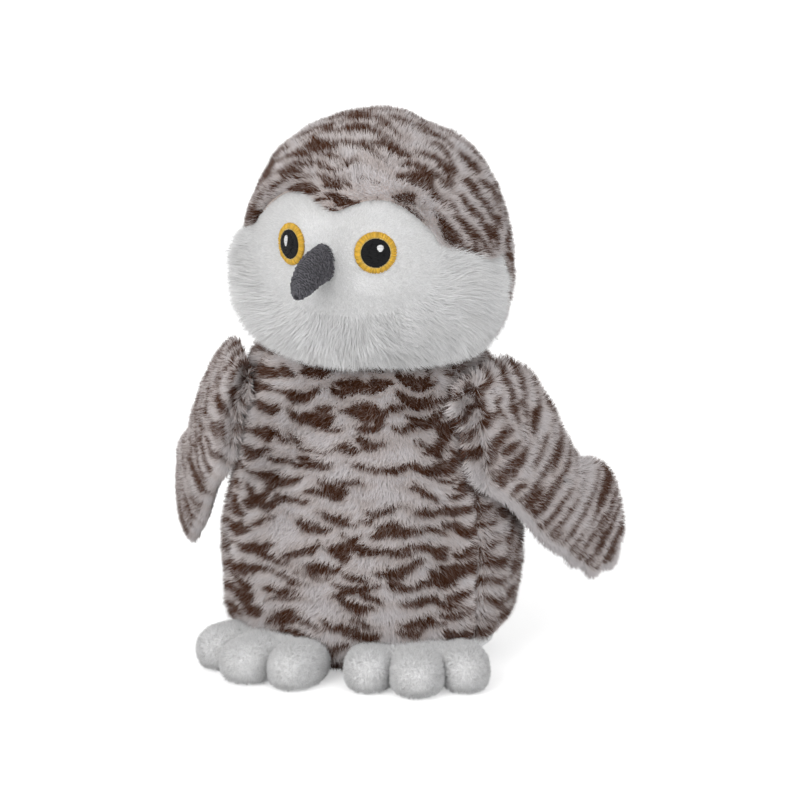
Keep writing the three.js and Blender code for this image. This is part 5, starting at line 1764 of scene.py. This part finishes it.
class OWL_OT_tail(bpy.types.Operator):
    """Makes the small tail flap, striped above and white below"""

    bl_idname = "owl.tail"
    bl_label = "Tail"

    def execute(self, context):
        pile = context.scene.owl_pile
        ring = TAIL_SHARES + [[-x, y] for x, y in TAIL_SHARES[-2:0:-1]]
        outline = lobed_outline(ring, 80, TAIL_CENTRE, 3, (0.27, 0.73), 2.2 / TAIL_LENGTH, 16)
        size = np.array([TAIL_WIDTH / 2, TAIL_LENGTH])
        start = Vector((0, tail_hinge() * MM, TAIL_HINGE * MM))
        bend = ("torso", "tail", start, start + Vector((0, 0.008, -0.0017)))
        for part, bulge, edge, inset in (("upper", 3.0, -0.5, 0.7), ("lower", -2.4, 0.2, 1.5)):
            sheet = flap_sheet(outline, TAIL_CENTRE, tail_place, bulge, edge, inset, size, 18)
            sheet = sheet.trimmed(BODY.outside(sheet.points, TAIL_CUT))
            sheet.turned_out(np.tile([0, 0, np.sign(bulge)], (len(sheet.points), 1)))
            flat, facing = sheet.marks["flat"], sheet.normals()
            nap = level_along(facing, np.tile([0.0, 1.0, -0.2], (len(flat), 1)))
            sheet.marks.update(
                facing=facing, nap=nap, map=(flat - [-1.05, -0.25]) / [2.1, 1.35],
                weave=np.stack([flat[:, 0] * 40, flat[:, 1] * 34, np.full(len(flat), 41.0)], -1),
                cover=np.ones(len(flat)), pile=np.full(len(flat), 0.8),
            )
            slot, kind, density, length = (
                ("striped_plush", "striped pile", 4.5, pile.striped_length * 0.6) if part == "upper"
                else ("white_short_plush", "white pile", 5.0, pile.short_length * 0.8)
            )
            padded_cover(f"tail_padded_{part}", sheet, 0.8, slot, [f"tail_{part}"], bend=bend)
            pile_piece(
                f"tail_{part}_pile", sheet, slot, bend, kind=kind, density=density, length=length, seed=111,
                lean=1.0, stray=0.3,
            )
        return {"FINISHED"}


class OWL_OT_filling(bpy.types.Operator):
    """Gives the hidden filling, pouch and pellets their materials"""

    bl_idname = "owl.filling"
    bl_label = "Filling"

    def execute(self, context):
        for name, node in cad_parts.items():
            for word, kind in (
                ("stuffing", "stuffing fibre"), ("pouch", "pouch cloth"), ("pellets", "pellets"),
            ):
                if word in name:
                    node.data.materials.clear()
                    node.data.materials.append(finish(kind))
        return {"FINISHED"}


# Stage


def seen_directly(tree):
    """One for rays that the camera sees straight, mirrored or through glass, else zero."""
    path = add_node(tree, "ShaderNodeLightPath").outputs
    seen = reckon(tree, "MAXIMUM", path["Is Camera Ray"], path["Is Glossy Ray"])
    return reckon(tree, "MAXIMUM", seen, path["Is Transmission Ray"])


class OWL_OT_stage(bpy.types.Operator):
    """Sets the camera, the soft lights, the pale floor and the white background"""

    bl_idname = "owl.stage"
    bl_label = "Stage"

    def execute(self, context):
        scene = context.scene
        scene.view_settings.view_transform = "Standard"
        self.camera(scene)
        self.floor()
        self.world(scene)
        for name, place, target, size, power, colour in (
            ("key", (-0.5, -1.55, 1.1), (0, 0, 0.12), 1.5, 19.0, (1.0, 1.0, 1.0)),
            ("fill", (1.3, -1.0, 0.6), (0, 0, 0.12), 1.3, 7.8, (0.97, 0.98, 1.0)),
            ("top", (0.1, -0.6, 1.7), (0, 0, 0.05), 1.2, 2.6, (1.0, 1.0, 1.0)),
            ("rear", (-0.6, 1.7, 0.9), (0, 0, 0.12), 1.2, 9.0, (1.0, 1.0, 1.0)),
        ):
            lamp = bpy.data.lights.new(name, "AREA")
            lamp.shape, lamp.size, lamp.energy, lamp.color = "DISK", size, power, colour
            light = add_object(f"{name}_light", lamp)
            light.location = place
            light.rotation_euler = (Vector(target) - Vector(place)).to_track_quat("-Z", "Y").to_euler()
        return {"FINISHED"}

    def camera(self, scene):
        target, distance = Vector((0.01255, 0.00313, 0.11065)), 3.0
        azimuth, elevation = math.radians(14), math.radians(16)
        back = Vector((
            math.sin(azimuth) * math.cos(elevation), -math.cos(azimuth) * math.cos(elevation), math.sin(elevation),
        ))
        lens = bpy.data.cameras.new("camera")
        sensor, width_seen = 36, 0.3448
        lens.sensor_width, lens.lens = sensor, sensor * distance / width_seen
        lens.clip_start, lens.clip_end = 0.05, 30
        camera = add_object("camera", lens)
        camera.location = target + back * distance
        camera.rotation_euler = (-back).to_track_quat("-Z", "Y").to_euler()
        scene.camera = camera

    def floor(self):
        mesh = bpy.data.meshes.new("floor")
        far = 8
        corners = [(-far, -far, 0), (far, -far, 0), (far, far, 0), (-far, far, 0)]
        mesh.from_pydata(corners, [], [(0, 1, 2, 3)])
        made, tree, surface = material_of("pale floor")
        feed(tree, surface, {"Base Color": (0.8, 0.8, 0.8, 1), "Roughness": 0.9})
        seen = reckon(tree, "MULTIPLY", seen_directly(tree), 0.45)
        glow = add_node(tree, "ShaderNodeEmission", {"Strength": seen})
        both = add_node(tree, "ShaderNodeAddShader", {0: surface.outputs[0], 1: glow.outputs[0]})
        tree.links.new(both.outputs[0], tree.nodes["Material Output"].inputs["Surface"])
        mesh.materials.append(made)
        add_object("floor", mesh)

    def world(self, scene):
        world = bpy.data.worlds.new("studio")
        world.use_nodes = True
        tree, least = world.node_tree, 0.62
        seen = reckon(tree, "MULTIPLY", seen_directly(tree), 1 - least)
        strength = reckon(tree, "ADD", least, seen)
        feed(tree, tree.nodes["Background"], {"Color": (1, 1, 1, 1), "Strength": strength})
        scene.world = world


class OWL_PT_sidebar(bpy.types.Panel):
    """Lists the owl's pieces and settings"""

    bl_idname = "OWL_PT_sidebar"
    bl_label = "Plush Owl"
    bl_space_type = "VIEW_3D"
    bl_region_type = "UI"
    bl_category = "Owl"

    def draw(self, context):
        for settings in (context.scene.owl_pile, context.scene.owl_pattern, context.scene.owl_colours):
            box = self.layout.box()
            for name in settings.__annotations__:
                box.prop(settings, name)
        for operator in OPERATORS:
            self.layout.operator(operator.bl_idname)


SETTINGS = (
    (OwlPileSettings, "owl_pile"), (OwlPatternSettings, "owl_pattern"), (OwlColourSettings, "owl_colours"),
)
OPERATORS = (
    OWL_OT_stage, OWL_OT_body, OWL_OT_head, OWL_OT_eyes, OWL_OT_beak, OWL_OT_feet, OWL_OT_wings, OWL_OT_tail,
    OWL_OT_filling,
)


def register():
    for group, name in SETTINGS:
        bpy.utils.register_class(group)
        setattr(bpy.types.Scene, name, bpy.props.PointerProperty(type=group))
    for operator in OPERATORS:
        bpy.utils.register_class(operator)
    bpy.utils.register_class(OWL_PT_sidebar)


def unregister():
    bpy.utils.unregister_class(OWL_PT_sidebar)
    for operator in reversed(OPERATORS):
        bpy.utils.unregister_class(operator)
    for group, name in reversed(SETTINGS):
        delattr(bpy.types.Scene, name)
        bpy.utils.unregister_class(group)


def main():
    register()
    for operator in OPERATORS:
        group, name = operator.bl_idname.split(".")
        getattr(getattr(bpy.ops, group), name)()
    bpy.context.view_layer.update()


if __name__ == "__main__":
    main()
